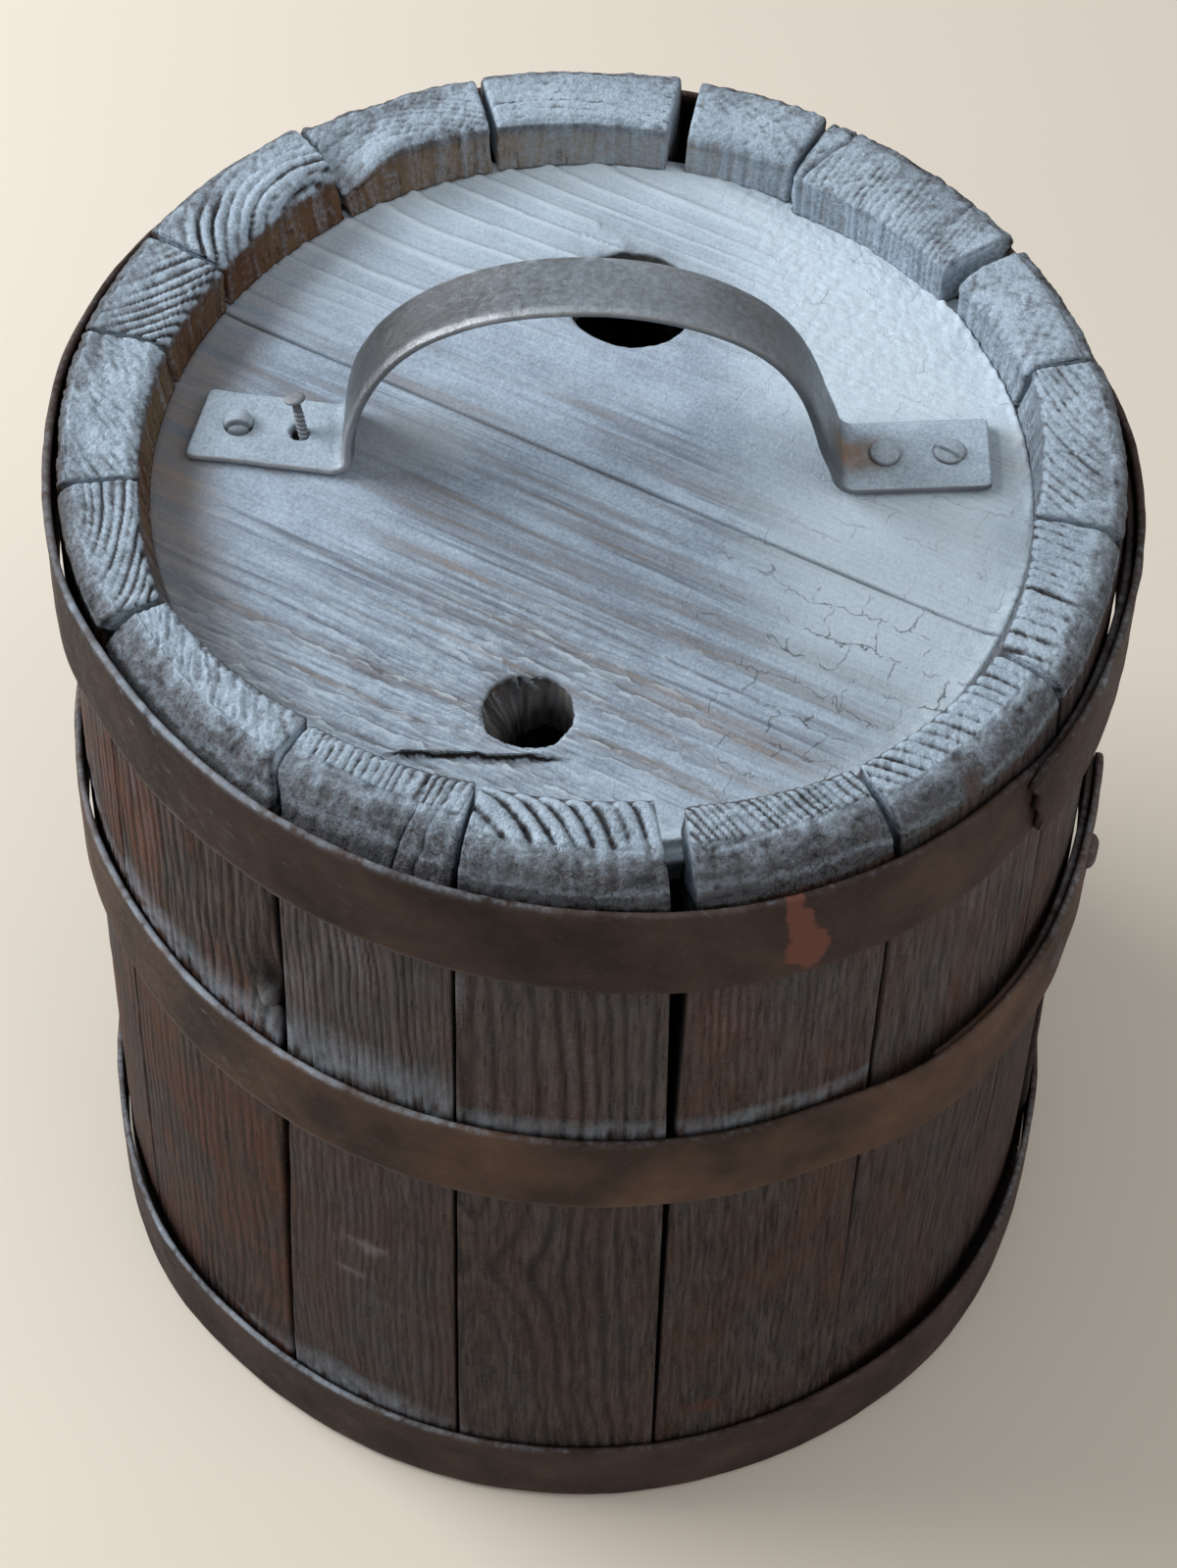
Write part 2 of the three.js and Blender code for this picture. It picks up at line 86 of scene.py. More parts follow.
def clipped(value: Array) -> Array:
    """Value held between 0 and 1."""
    return np.clip(value, 0.0, 1.0)


def ease(low: float, high: float, value: Array) -> Array:
    """Smooth step from 0 at low to 1 at high: three squares less two cubes of the clipped share."""
    share = clipped((value - low) / (high - low))
    return share * share * (3.0 - 2.0 * share)


def hump(value: Array, width: float) -> Array:
    """Bell of height 1 and the given half width: e to minus the squared share."""
    return np.exp(-((value / width) ** 2))


def turned(bearing: Array, centre: float) -> Array:
    """Degrees from centre to a bearing, from -180 to 180."""
    return (np.asarray(bearing) - centre + 180.0) % 360.0 - 180.0


def facing(bearing: Array, centre: float, width: float) -> Array:
    """Bell over bearings: 1 at the centre, with the given half width in degrees."""
    return hump(turned(bearing, centre), width)


def between(a: Array, b: Array, share: Array) -> Array:
    """Straight blend from a where share is 0 to b where it is 1."""
    return a * (1.0 - share) + b * share


def stacked(*parts: Array | float) -> Array:
    """Values side by side along a new last axis, each spread over the whole grid."""
    return np.stack(np.broadcast_arrays(*parts), -1)


def wound(radius: Array, angle: Array, z: Array) -> Array:
    """Points round Z: the radius times the angle's cosine and sine, and the height."""
    return stacked(radius * np.cos(angle), radius * np.sin(angle), z)


def lattice(i: Array, j: Array, seed: int) -> Array:
    """Value of each lattice corner, a hash of its two whole numbers.

    Args:
        i, j: the corner's whole numbers.
        seed: which of many noises.

    Returns:
        Values from -1 to 1.
    """
    n = i.astype(np.int64) * HASH_I + j.astype(np.int64) * HASH_J + seed * HASH_SEED
    n &= WORD
    n = ((n ^ (n >> 13)) * HASH_STIR) & WORD
    return ((n ^ (n >> 16)) & HALF_WORD) / (HALF_WORD / 2) - 1.0


def smooth(x: Array, y: Array, seed: int = 0) -> Array:
    """Corner values carried across each unit square by the smoothest step of fifth order.

    Args:
        x, y: places, in features.
        seed: which of many noises.

    Returns:
        Values from -1 to 1.
    """
    x, y = np.broadcast_arrays(np.asarray(x, float), np.asarray(y, float))
    i, j = np.floor(x), np.floor(y)
    u, v = (w * w * w * (w * (w * 6.0 - 15.0) + 10.0) for w in (x - i, y - j))
    low = between(lattice(i, j, seed), lattice(i + 1, j, seed), u)
    high = between(lattice(i, j + 1, seed), lattice(i + 1, j + 1, seed), u)
    return between(low, high, v)


def fractal(x: Array, y: Array, seed: int = 0, octaves: int = 4) -> Array:
    """Sum of noises, each twice as fine and half as strong as the last.

    Args:
        x, y: places, in features of the broadest noise.
        seed: which of many noises.
        octaves: how many noises are summed.

    Returns:
        Values from -1 to 1.
    """
    x, y = np.asarray(x, float), np.asarray(y, float)
    total = sum(
        smooth(x * 2.0**k + 17.3 * k, y * 2.0**k + 9.1 * k, seed + k) / 2.0**k
        for k in range(octaves)
    )
    return total / (2.0 - 2.0 ** (1 - octaves))


def cells(x: Array, y: Array, seed: int = 0) -> Array:
    """Depth inside a cell: distance to the second nearest of scattered points less that to the nearest.

    Args:
        x, y: places, in cells.
        seed: which of many scatterings.

    Returns:
        Distances, 0 on the borders.
    """
    x, y = np.broadcast_arrays(np.asarray(x, float), np.asarray(y, float))
    i, j = np.floor(x), np.floor(y)
    nearest, second = np.full(x.shape, 9.0), np.full(x.shape, 9.0)
    for di in (-1, 0, 1):
        for dj in (-1, 0, 1):
            px = i + di + 0.5 + 0.45 * lattice(i + di, j + dj, seed)
            py = j + dj + 0.5 + 0.45 * lattice(i + di, j + dj, seed + 71)
            distance = np.hypot(px - x, py - y)
            second = np.minimum(second, np.maximum(nearest, distance))
            nearest = np.minimum(nearest, distance)
    return second - nearest


class Skin:
    """Grids of points, sewn where they meet, that make one closed piece."""

    SEWN = 0.002

    def __init__(self) -> None:
        """Starts with no grid."""
        self.points: list[Array] = []
        self.coats: list[Array] = []
        self.quads: list[Array] = []
        self.count = 0

    def grid(self, points: Array, coat: Array | Coat, wrap: bool = False, keep: Array | None = None) -> None:
        """Adds a grid of points.

        Args:
            points: places in millimetres, as rows, columns and three axes.
            coat: four shares of finish at each point, or the same four for all.
            wrap: whether the last row joins the first.
            keep: which cells of the grid have a face, or None for all.
        """
        rows, columns = points.shape[:2]
        ids = np.arange(rows * columns).reshape(rows, columns) + self.count
        if wrap:
            ids = np.vstack([ids, ids[:1]])
        quads = np.stack([ids[:-1, :-1], ids[1:, :-1], ids[1:, 1:], ids[:-1, 1:]], -1)
        self.quads.append(quads.reshape(-1, 4) if keep is None else quads[keep])
        self.points.append(points.reshape(-1, 3))
        self.coats.append(np.broadcast_to(coat, points.shape[:2] + (4,)).reshape(-1, 4))
        self.count += rows * columns

    def mesh(self, name: str) -> bpy.types.Mesh:
        """Sews points that lie closer than the sewing distance and turns every face outwards.

        Args:
            name: name of the mesh.

        Returns:
            The closed mesh, with the coat as a point attribute.
        """
        points = np.concatenate(self.points)
        keys = np.round(points / self.SEWN).astype(np.int64)
        _, first, where = np.unique(keys, axis=0, return_index=True, return_inverse=True)
        quads = where.reshape(-1)[np.concatenate(self.quads)]
        used, quads = np.unique(quads, return_inverse=True)
        quads = quads.reshape(-1, 4)
        same = quads == np.roll(quads, -1, axis=1)
        whole = quads[same.sum(1) == 0]
        pinched = same.sum(1) == 1
        corners = quads[pinched][~same[pinched]].reshape(-1, 3)
        mesh = bpy.data.meshes.new(name)
        mesh.from_pydata((points[first][used] * MM).tolist(), [], whole.tolist() + corners.tolist())
        sewn = bmesh.new()
        sewn.from_mesh(mesh)
        bmesh.ops.recalc_face_normals(sewn, faces=sewn.faces)
        sewn.to_mesh(mesh)
        sewn.free()
        coat = mesh.attributes.new("coat", "FLOAT_COLOR", "POINT")
        coat.data.foreach_set("color", np.concatenate(self.coats)[first][used].astype(np.float32).ravel())
        mesh.polygons.foreach_set("use_smooth", np.ones(len(mesh.polygons), bool))
        mesh.update()
        return mesh

    def piece(self, name: str, body: Body, slot: Slot, finish: Material, *nodes: str) -> None:
        """Makes the piece, dresses it and lets it ride on its body in place of its solids.

        Args:
            name: name of the piece.
            body: body that carries it.
            slot: material slot that the piece belongs to; not used.
            finish: its material.
            nodes: solids that it stands for.
        """
        piece = bpy.data.objects.new(name, self.mesh(name))
        bpy.context.scene.collection.objects.link(piece)
        piece.data.materials.append(finish)
        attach(piece, body.value)
        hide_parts(*nodes)
        log.info("%s: %d faces", name, len(piece.data.polygons))


class Graph:
    """Nodes of one material, wired by short calls."""

    def __init__(self, name: str) -> None:
        """Starts a material with a lone shader that is wired to the output.

        Args:
            name: name of the material.
        """
        self.material = bpy.data.materials.new(name)
        self.material.use_nodes = True
        self.nodes = self.material.node_tree.nodes
        self.links = self.material.node_tree.links
        self.shader = self.nodes["Principled BSDF"]
        self.object = self.nodes.new("ShaderNodeTexCoord").outputs["Object"]

    def feed(self, socket: Socket, value: object) -> None:
        """Links a socket to another, or sets its value.

        Args:
            socket: the input to feed.
            value: an output, a colour of three parts or a plain value.
        """
        if isinstance(value, Socket):
            self.links.new(value, socket)
        elif isinstance(value, tuple) and socket.type == "RGBA":
            socket.default_value = (*value, 1.0)
        else:
            socket.default_value = value

    def node(self, kind: str, inputs: dict[str | int, object], **traits: object) -> bpy.types.Node:
        """Adds a node.

        Args:
            kind: its kind, without the beginning that all kinds share.
            inputs: what feeds it, by the input's name or number.
            traits: its own settings.

        Returns:
            The node.
        """
        node = self.nodes.new(f"ShaderNode{kind}")
        for name, trait in traits.items():
            setattr(node, name, trait)
        for name, value in inputs.items():
            self.feed(node.inputs[name], value)
        return node

    def coat(self) -> dict[str, Socket]:
        """Reads the piece's coat.

        Returns:
            Its four shares, as red, green, blue and alpha.
        """
        attribute = self.node("Attribute", {}, attribute_name="coat")
        parts = self.node("SeparateColor", {0: attribute.outputs["Color"]})
        shares = {name.lower(): parts.outputs[name] for name in ("Red", "Green", "Blue")}
        return shares | {"alpha": attribute.outputs["Alpha"]}

    def stretched(self, scale: Triple, turn: float = 0.0) -> Socket:
        """Returns the piece's own coordinates, turned by degrees about Z and then scaled."""
        turning = self.node("Mapping", {"Vector": self.object, "Rotation": (0.0, 0.0, radians(turn))})
        return self.node("Mapping", {"Vector": turning.outputs[0], "Scale": scale}).outputs[0]

    def noise(self, where: Socket, scale: float, detail: float = 4.0, harsh: float = 0.6) -> Socket:
        """Returns noise from 0 to 1 with so many features per metre, finer parts as strong as harsh says."""
        inputs = {"Vector": where, "Scale": scale, "Detail": detail, "Roughness": harsh}
        return self.node("TexNoise", inputs).outputs["Fac"]

    def jolted(self, where: Socket, scale: float, reach: float) -> Socket:
        """Returns coordinates shifted by up to a reach in metres, by noise of so many features per metre."""
        noise = self.node("TexNoise", {"Vector": where, "Scale": scale}).outputs["Color"]
        return self.node(
            "VectorMath", {0: noise, 1: (reach,) * 3, 2: where}, operation="MULTIPLY_ADD"
        ).outputs[0]

    def net(self, where: Socket, scale: float) -> Socket:
        """Returns the distance to the nearest border of irregular cells, so many per metre."""
        traits = {"voronoi_dimensions": "3D", "feature": "DISTANCE_TO_EDGE"}
        return self.node("TexVoronoi", {"Vector": where, "Scale": scale}, **traits).outputs["Distance"]

    def bricks(self, where: Socket, long: float, tall: float, joint: float) -> Socket:
        """Returns a share that is full in the joints of a wall of bricks, with sizes in centimetres."""
        sizes = {"Mortar Size": joint, "Mortar Smooth": 0.7, "Brick Width": long, "Row Height": tall}
        return self.node("TexBrick", {"Vector": where, "Scale": 100.0} | sizes).outputs["Fac"]

    def flakes(self, where: Socket, scale: float) -> Socket:
        """Lays irregular flakes that lap like slates: each rises along Y and drops at its border.

        Args:
            where: coordinates.
            scale: flakes per metre.

        Returns:
            The rise over each flake, from 0 to 1.
        """
        flake = self.node("TexVoronoi", {"Vector": where, "Scale": scale}, voronoi_dimensions="2D")
        offset = self.node("VectorMath", {0: where, 1: flake.outputs["Position"]}, operation="SUBTRACT")
        return self.within(offset.outputs[0], "Y", -0.6 / scale, 0.6 / scale)

    def within(self, where: Socket, axis: str, low: float, high: float) -> Socket:
        """Returns a share from 0 at low to 1 at high along an axis of coordinates, in metres."""
        return self.span(self.node("SeparateXYZ", {0: where}).outputs[axis], low, high)

    def along(self, axis: str, low: float, high: float) -> Socket:
        """Returns a share from 0 at low to 1 at high along an axis of the piece, in metres."""
        return self.within(self.object, axis, low, high)

    def span(self, value: object, low: float, high: float, start: float = 0.0, end: float = 1.0) -> Socket:
        """Returns a value carried from one range to another and clipped to it."""
        inputs = {"Value": value, "From Min": low, "From Max": high, "To Min": start, "To Max": end}
        return self.node("MapRange", inputs).outputs[0]

    def sum(self, kind: str, a: object, b: object) -> Socket:
        """Returns what a kind of sum makes of two values, clipped from 0 to 1."""
        return self.node("Math", {0: a, 1: b}, operation=kind, use_clamp=True).outputs[0]

    def times(self, a: object, b: object) -> Socket:
        """Returns a times b, clipped from 0 to 1."""
        return self.sum("MULTIPLY", a, b)

    def plus(self, a: object, b: object) -> Socket:
        """Returns a and b together, clipped from 0 to 1."""
        return self.sum("ADD", a, b)

    def less(self, a: object, b: object) -> Socket:
        """Returns a less b, clipped from 0 to 1."""
        return self.sum("SUBTRACT", a, b)

    def scattered(self, share: object, noise: object, spread: float, soft: float) -> Socket:
        """Returns a share in patches: full where it and the noise are high, none where both are low."""
        total = self.node("Math", {0: noise, 1: spread, 2: share}, operation="MULTIPLY_ADD").outputs[0]
        return self.span(total, 0.5 * spread + 0.5 - soft, 0.5 * spread + 0.5 + soft)

    def mix(self, share: object, a: object, b: object) -> Socket:
        """Returns colour a where share is 0 and b where it is 1."""
        return self.node("Mix", {0: share, 6: a, 7: b}, data_type="RGBA").outputs[2]

    def finish(
        self, colour: object, roughness: object, height: object, depth: float,
        metal: object = 0.0, gloss: float = 0.5,
    ) -> Material:
        """Wires the shader.

        Args:
            colour: base colour.
            roughness: roughness.
            height: bump height from 0 to 1.
            depth: depth of the bump in millimetres.
            metal: metallic share.
            gloss: specular level.

        Returns:
            The finished material.
        """
        bump = self.node("Bump", {"Strength": 1.0, "Distance": depth * MM, "Height": height})
        inputs = {
            "Normal": bump.outputs[0], "Base Color": colour, "Roughness": roughness,
            "Metallic": metal, "Specular IOR Level": gloss,
        }
        for name, value in inputs.items():
            self.feed(self.shader.inputs[name], value)
        return self.material


@dataclass(frozen=True)
class SkyTintedDust:
    """Pale dust that lies on everything that faces up, tinted blue as painted cool skylight."""

    thin: Colour = (0.235, 0.285, 0.345)
    thick: Colour = (0.47, 0.555, 0.645)

    def colour(self, graph: Graph) -> Socket:
        """Mixes thin and thick dust by fine and broad noise.

        Args:
            graph: nodes of the material.

        Returns:
            The dust's colour.
        """
        fine = graph.noise(graph.object, 1400.0, 5.0)
        broad = graph.noise(graph.object, 60.0, 3.0)
        mottle = graph.plus(graph.times(fine, 0.6), graph.times(broad, 0.4))
        return graph.mix(graph.span(mottle, 0.34, 0.66), self.thin, self.thick)


@dataclass(frozen=True)
class StaveFinish:
    """Dark weathered wood: the coat is dust, dark cracks and painted shade, red wood with painted warm shade,
    and lighter wood with painted highlights.

    The pairs are bounds of shares along an axis, in metres: none at the first, full at the second.
    """

    dark: Colour = (0.015, 0.010, 0.008)
    plain: Colour = (0.088, 0.067, 0.056)
    light: Colour = (0.120, 0.111, 0.114)
    grey: Colour = (0.118, 0.127, 0.143)
    # warm brown painted as the shade on the left part of the inner wall
    shaded_wall_brown: Colour = (0.178, 0.114, 0.066)
    buff: Colour = (0.34, 0.29, 0.23)
    red: Colour = (0.098, 0.036, 0.020)
    crack: Colour = (0.005, 0.004, 0.004)
    rim: Pair = (0.252, 0.266)
    front: Pair = (-0.092, -0.112)
    inner: Pair = (-0.045, -0.02)
    wall: Pair = (0.2815, 0.2785)
    to_buff: Pair = (-0.06, -0.005)
    to_grey: Pair = (0.03, 0.075)

    def material(self) -> Material:
        """Lays fibres along the stave, then lighter and red wood, cracks, scattered dust and crazing.

        Returns:
            The material.
        """
        graph = Graph("stave_wood")
        mix, span, times = graph.mix, graph.span, graph.times
        coat = graph.coat()
        fibre = graph.noise(graph.stretched((1.0, 1.0, 0.05)), 950.0, 6.0)
        hair = graph.noise(graph.stretched((1.0, 1.0, 0.03)), 1500.0, 3.0)
        fine = graph.noise(graph.object, 800.0, 4.0, 0.75)
        patch = graph.noise(graph.object, 55.0, 3.0)
        rim = graph.along("Z", *self.rim)
        wood = mix(span(fibre, 0.36, 0.64), self.dark, self.plain)
        wood = mix(coat["alpha"], wood, mix(rim, self.light, self.rim_wood(graph)))
        wood = mix(times(coat["blue"], span(patch, 0.38, 0.62, 0.4, 1.0)), wood, self.red)
        wood = mix(span(hair, 0.56, 0.68, 0.0, 0.7), wood, self.dark)
        wood = mix(graph.scattered(coat["green"], fine, 0.5, 0.38), wood, self.crack)
        thin = graph.scattered(graph.less(coat["red"], 0.08), fine, 0.35, 0.5)
        crumbs = span(graph.noise(graph.object, 430.0, 5.0, 0.72), 0.36, 0.64)
        crumbled = times(coat["red"], span(crumbs, 0.0, 0.6, 0.72, 1.12))
        broken = graph.scattered(crumbled, fine, 0.8, 0.32)
        lying = graph.plus(times(thin, graph.less(1.0, rim)), times(broken, rim))
        colour = mix(lying, wood, SkyTintedDust().colour(graph))
        net = graph.net(graph.jolted(graph.object, 420.0, 0.003), 520.0)
        crazed = times(rim, graph.along("Y", *self.front))
        crazed = times(crazed, span(patch, 0.42, 0.58))
        crazed = times(crazed, span(net, 0.01, 0.06, 1.0, 0.0))
        colour = mix(times(crazed, 0.45), colour, self.crack)
        height = graph.plus(times(fibre, 0.35), times(fine, 0.45))
        height = graph.plus(height, times(times(rim, crumbs), 0.3))
        height = graph.less(height, times(crazed, 0.35))
        return graph.finish(colour, span(coat["red"], 0.0, 0.6, 0.6, 0.92), height, 0.8, 0.0, 0.07)

    def rim_wood(self, graph: Graph) -> Socket:
        """Colours the rim's bare wood: grey outside and on top; along the inner wall a warm brown painted as
        shade on the left, then buff and grey.

        Args:
            graph: nodes of the material.

        Returns:
            The wood's colour.
        """
        wall = graph.mix(graph.along("X", *self.to_buff), self.shaded_wall_brown, self.buff)
        wall = graph.mix(graph.along("X", *self.to_grey), wall, self.grey)
        below = graph.mix(graph.along("Z", *self.wall), self.grey, wall)
        return graph.mix(graph.along("Y", *self.inner), self.grey, below)


@dataclass(frozen=True)
class HeadFinish:
    """Dusty head boards: the coat is bare streaks, dark cracks and painted shadows, warm wood and painted
    warm shade, and thick pale dust; the blue-grey tints partly stand for painted cool skylight.

    The pairs below the colours are bounds of shares along an axis, in metres.
    """

    turn: float
    split: Pair | None = None
    bare: Colour = (0.131, 0.151, 0.187)
    warm: Colour = (0.250, 0.190, 0.145)
    crack: Colour = (0.032, 0.029, 0.028)
    torn: Colour = (0.006, 0.005, 0.005)
    pale: Colour = (0.55, 0.63, 0.70)
    thin: Colour = (0.236, 0.289, 0.365)
    thick: Colour = (0.47, 0.56, 0.672)
    face: Pair = (0.264, 0.2665)
    flaky_front: Pair = (-0.025, -0.055)
    flaky_left: Pair = (0.045, 0.0)
    crackled: Pair = (0.012, 0.045)

    def grain(self, graph: Graph, long: float, scale: float, detail: float) -> Socket:
        """Returns noise drawn out along the board's grain by one over long."""
        return graph.noise(graph.stretched((long, 1.0, 1.0), -self.turn), scale, detail)

    def material(self) -> Material:
        """Lays dust with streaks and dark lines along the grain, then cracks, warm wood and painted warm
        shade, crackle, and flakes with painted highlights and shadows.

        Returns:
            The material.
        """
        graph = Graph(f"head_wood_{abs(self.turn):.0f}")
        mix, span, times = graph.mix, graph.span, graph.times
        coat = graph.coat()
        fine = graph.noise(graph.object, 1500.0, 5.0)
        streak = self.grain(graph, 0.045, 260.0, 5.0)
        line = self.grain(graph, 0.03, 620.0, 4.0)
        hair = self.grain(graph, 0.02, 900.0, 2.0)
        wood = mix(span(streak, 0.47, 0.74), self.bare, self.warm)
        bare = times(coat["red"], span(streak, 0.42, 0.64, 0.0, 0.9))
        colour = mix(bare, SkyTintedDust(self.thin, self.thick).colour(graph), wood)
        lined = times(coat["red"], span(line, 0.54, 0.66, 0.0, 0.8))
        colour = mix(lined, colour, self.bare)
        loose = times(coat["alpha"], span(fine, 0.3, 0.6, 0.6, 1.0))
        colour = mix(loose, colour, self.pale)
        colour = mix(span(hair, 0.68, 0.74, 0.0, 0.45), colour, self.pale)
        warm = mix(span(streak, 0.36, 0.64), self.warm, self.bare)
        colour = mix(coat["blue"], colour, warm)
        colour = mix(coat["green"], colour, self.crack)
        flat = graph.along("Z", *self.face)
        gap = self.crackle(graph, flat)
        flake = graph.flakes(graph.jolted(graph.stretched((0.42, 1.0, 1.0), -self.turn), 500.0, 0.002), 430.0)
        left = times(graph.along("Y", *self.flaky_front), graph.along("X", *self.flaky_left))
        flaky = times(times(left, flat), span(streak, 0.36, 0.60, 0.25, 1.0))
        # Raised flake edges are paler, partly dust and partly painted highlight; the foot of each edge is
        # darker as painted shadow.
        edge = times(flaky, span(flake, 0.72, 0.95))
        under = times(flaky, span(flake, 0.22, 0.08))
        colour = mix(times(edge, 0.55), colour, self.pale)
        deep = graph.sum("MAXIMUM", gap, times(under, 0.6))
        colour = mix(times(deep, 0.72), colour, self.crack)
        rough = graph.plus(times(line, 0.3), times(fine, 0.3))
        height = graph.plus(rough, times(times(flake, flaky), 0.4))
        height = graph.less(height, times(gap, 0.8))
        if self.split:
            # The split's gap with the painted shadow under its lifted lip.
            torn = self.torn_line(graph)
            colour = mix(torn, colour, self.torn)
            height = graph.less(height, torn)
        return graph.finish(colour, 0.9, height, 0.6, 0.0, 0.25)

    def crackle(self, graph: Graph, flat: Socket) -> Socket:
        """Breaks the paint at the front right into bent bricks, in patches.

        Args:
            graph: nodes of the material.
            flat: share of the board's face.

        Returns:
            The share of the gaps.
        """
        board = graph.stretched((1.0, 1.0, 1.0), -self.turn)
        bent = graph.jolted(graph.jolted(board, 70.0, 0.009), 420.0, 0.0036)
        joints = graph.bricks(bent, 1.15, 0.78, 0.026)
        patchy = graph.span(graph.noise(graph.object, 60.0, 2.0), 0.40, 0.52, 0.1, 1.0)
        broken = graph.span(graph.noise(graph.object, 170.0, 2.0), 0.42, 0.58, 0.04, 1.0)
        front = graph.span(graph.within(board, "Y", 0.004, -0.002), 0.0, 1.0, 0.22, 1.0)
        crazed = graph.times(graph.along("X", *self.crackled), graph.times(front, flat))
        return graph.times(graph.times(graph.times(patchy, broken), crazed), joints)

    def torn_line(self, graph: Graph) -> Socket:
        """Draws a dark wavering line along X through the split's middle: the split's gap and the painted
        shadow under its lifted lip.

        Args:
            graph: nodes of the material.

        Returns:
            The share of the line.
        """
        x, y = (MM * value for value in self.split)
        bent = graph.jolted(graph.object, 150.0, 0.0024)
        front = graph.within(bent, "Y", y + 0.0004, y + 0.0008)
        share = graph.times(front, graph.within(bent, "Y", y + 0.0016, y + 0.0012))
        ends = graph.times(graph.along("X", x - 0.020, x - 0.017), graph.along("X", x + 0.020, x + 0.015))
        return graph.times(share, ends)


@dataclass(frozen=True)
class IronFinish:
    """Old iron strip: the coat is dust, rust, worn bright edges and dark places, which on some pieces also
    carry painted sheen, highlights and shade.
    """

    name: str
    dark: Colour
    plain: Colour
    worn: Colour = (0.22, 0.225, 0.24)
    rust: Colour = (0.150, 0.064, 0.048)
    deep: Colour = (0.004, 0.004, 0.004)
    rough: float = 0.55
    metal: float = 0.05
    pits: float = 0.12
    gloss: float = 0.06

    def material(self) -> Material:
        """Lays mottled oxide, then wear, rust and dust in that order.

        Returns:
            The material.
        """
        graph = Graph(self.name)
        mix, span, times = graph.mix, graph.span, graph.times
        coat = graph.coat()
        broad = graph.noise(graph.object, 38.0, 4.0)
        fine = graph.noise(graph.object, 620.0, 5.0)
        grit = graph.noise(graph.object, 2100.0, 4.0)
        iron = mix(span(broad, 0.34, 0.66), self.dark, self.plain)
        iron = mix(span(fine, 0.56, 0.76, 0.0, 0.6), iron, self.dark)
        iron = mix(graph.scattered(coat["blue"], fine, 0.3, 0.5), iron, self.worn)
        spots = times(graph.scattered(coat["green"], grit, 0.35, 0.25), 0.9)
        iron = mix(spots, iron, self.rust)
        iron = mix(coat["alpha"], iron, self.deep)
        colour = mix(graph.scattered(coat["red"], fine, 0.7, 0.4), iron, SkyTintedDust().colour(graph))
        clean = graph.less(1.0, graph.plus(coat["red"], coat["green"]))
        uneven = span(fine, 0.3, 0.7, self.rough - 0.08, self.rough + 0.14)
        roughness = graph.plus(uneven, span(clean, 1.0, 0.0, 0.0, 0.4))
        height = graph.plus(times(fine, 0.6), times(grit, 0.4))
        return graph.finish(colour, roughness, height, self.pits, times(clean, self.metal), self.gloss)


class Iron(Enum):
    """Kinds of iron on the keg."""

    HOOP = IronFinish("hoop_iron", (0.028, 0.018, 0.015), (0.070, 0.043, 0.034))
    BROWN_HOOP = IronFinish("brown_hoop_iron", (0.039, 0.024, 0.018), (0.106, 0.060, 0.040))
    STRAP = IronFinish(
        "strap_iron", (0.095, 0.099, 0.104), (0.190, 0.200, 0.216), worn=(0.45, 0.46, 0.48),
        rust=(0.225, 0.130, 0.075), rough=0.33, metal=0.5, pits=0.34, gloss=0.4,
    )
    FIXING = IronFinish(
        "fixing_iron", (0.120, 0.116, 0.115), (0.230, 0.228, 0.230), rough=0.5, metal=0.35, gloss=0.4
    )


@dataclass(frozen=True)
class DowelFinish:
    """Plain turned wood of the hidden dowels."""

    dark: Colour = (0.16, 0.11, 0.07)
    light: Colour = (0.30, 0.21, 0.14)

    def material(self, name: str) -> Material:
        """Lays fine grain along Y, from dark to light.

        Args:
            name: name of the material.

        Returns:
            The material.
        """
        graph = Graph(name)
        grain = graph.noise(graph.stretched((1.0, 0.2, 1.0)), 900.0)
        return graph.finish(graph.mix(grain, self.dark, self.light), 0.8, grain, 0.1)


@dataclass(frozen=True)
class FloorFinish:
    """Plain pale floor."""

    pale: Colour = (0.66, 0.58, 0.49)
    shade: float = 0.97

    def material(self) -> Material:
        """Mixes the pale colour and its shade by broad noise, over a very low bump.

        Returns:
            The material.
        """
        graph = Graph("pale_floor")
        shaded = tuple(self.shade * part for part in self.pale)
        colour = graph.mix(graph.noise(graph.object, 6.0, 2.0), self.pale, shaded)
        return graph.finish(colour, 0.6, graph.noise(graph.object, 300.0, 2.0), 0.02)


@dataclass(frozen=True)
class Shape:
    """Outline of the keg, the same as that of its solids."""

    length: float = 284.0
    rim_radius: float = 116.3
    foot_radius: float = 133.0
    thickness: float = 20.5
    head_level: float = 269.0
    base_level: float = 15.0
    head_thickness: float = 16.0
    tongue: float = 7.0
    croze: float = 4.5
    bevel_run: float = 10.0
    play: float = 0.5
    fit: float = 0.3
    waist: float = 174.75

    def outer(self, z: Array) -> Array:
        """Radius of the staves' outside at a height."""
        return self.foot_radius + (self.rim_radius - self.foot_radius) * z / self.length

    def inner(self, z: Array) -> Array:
        """Radius of the staves' inside at a height."""
        return self.outer(z) - self.thickness


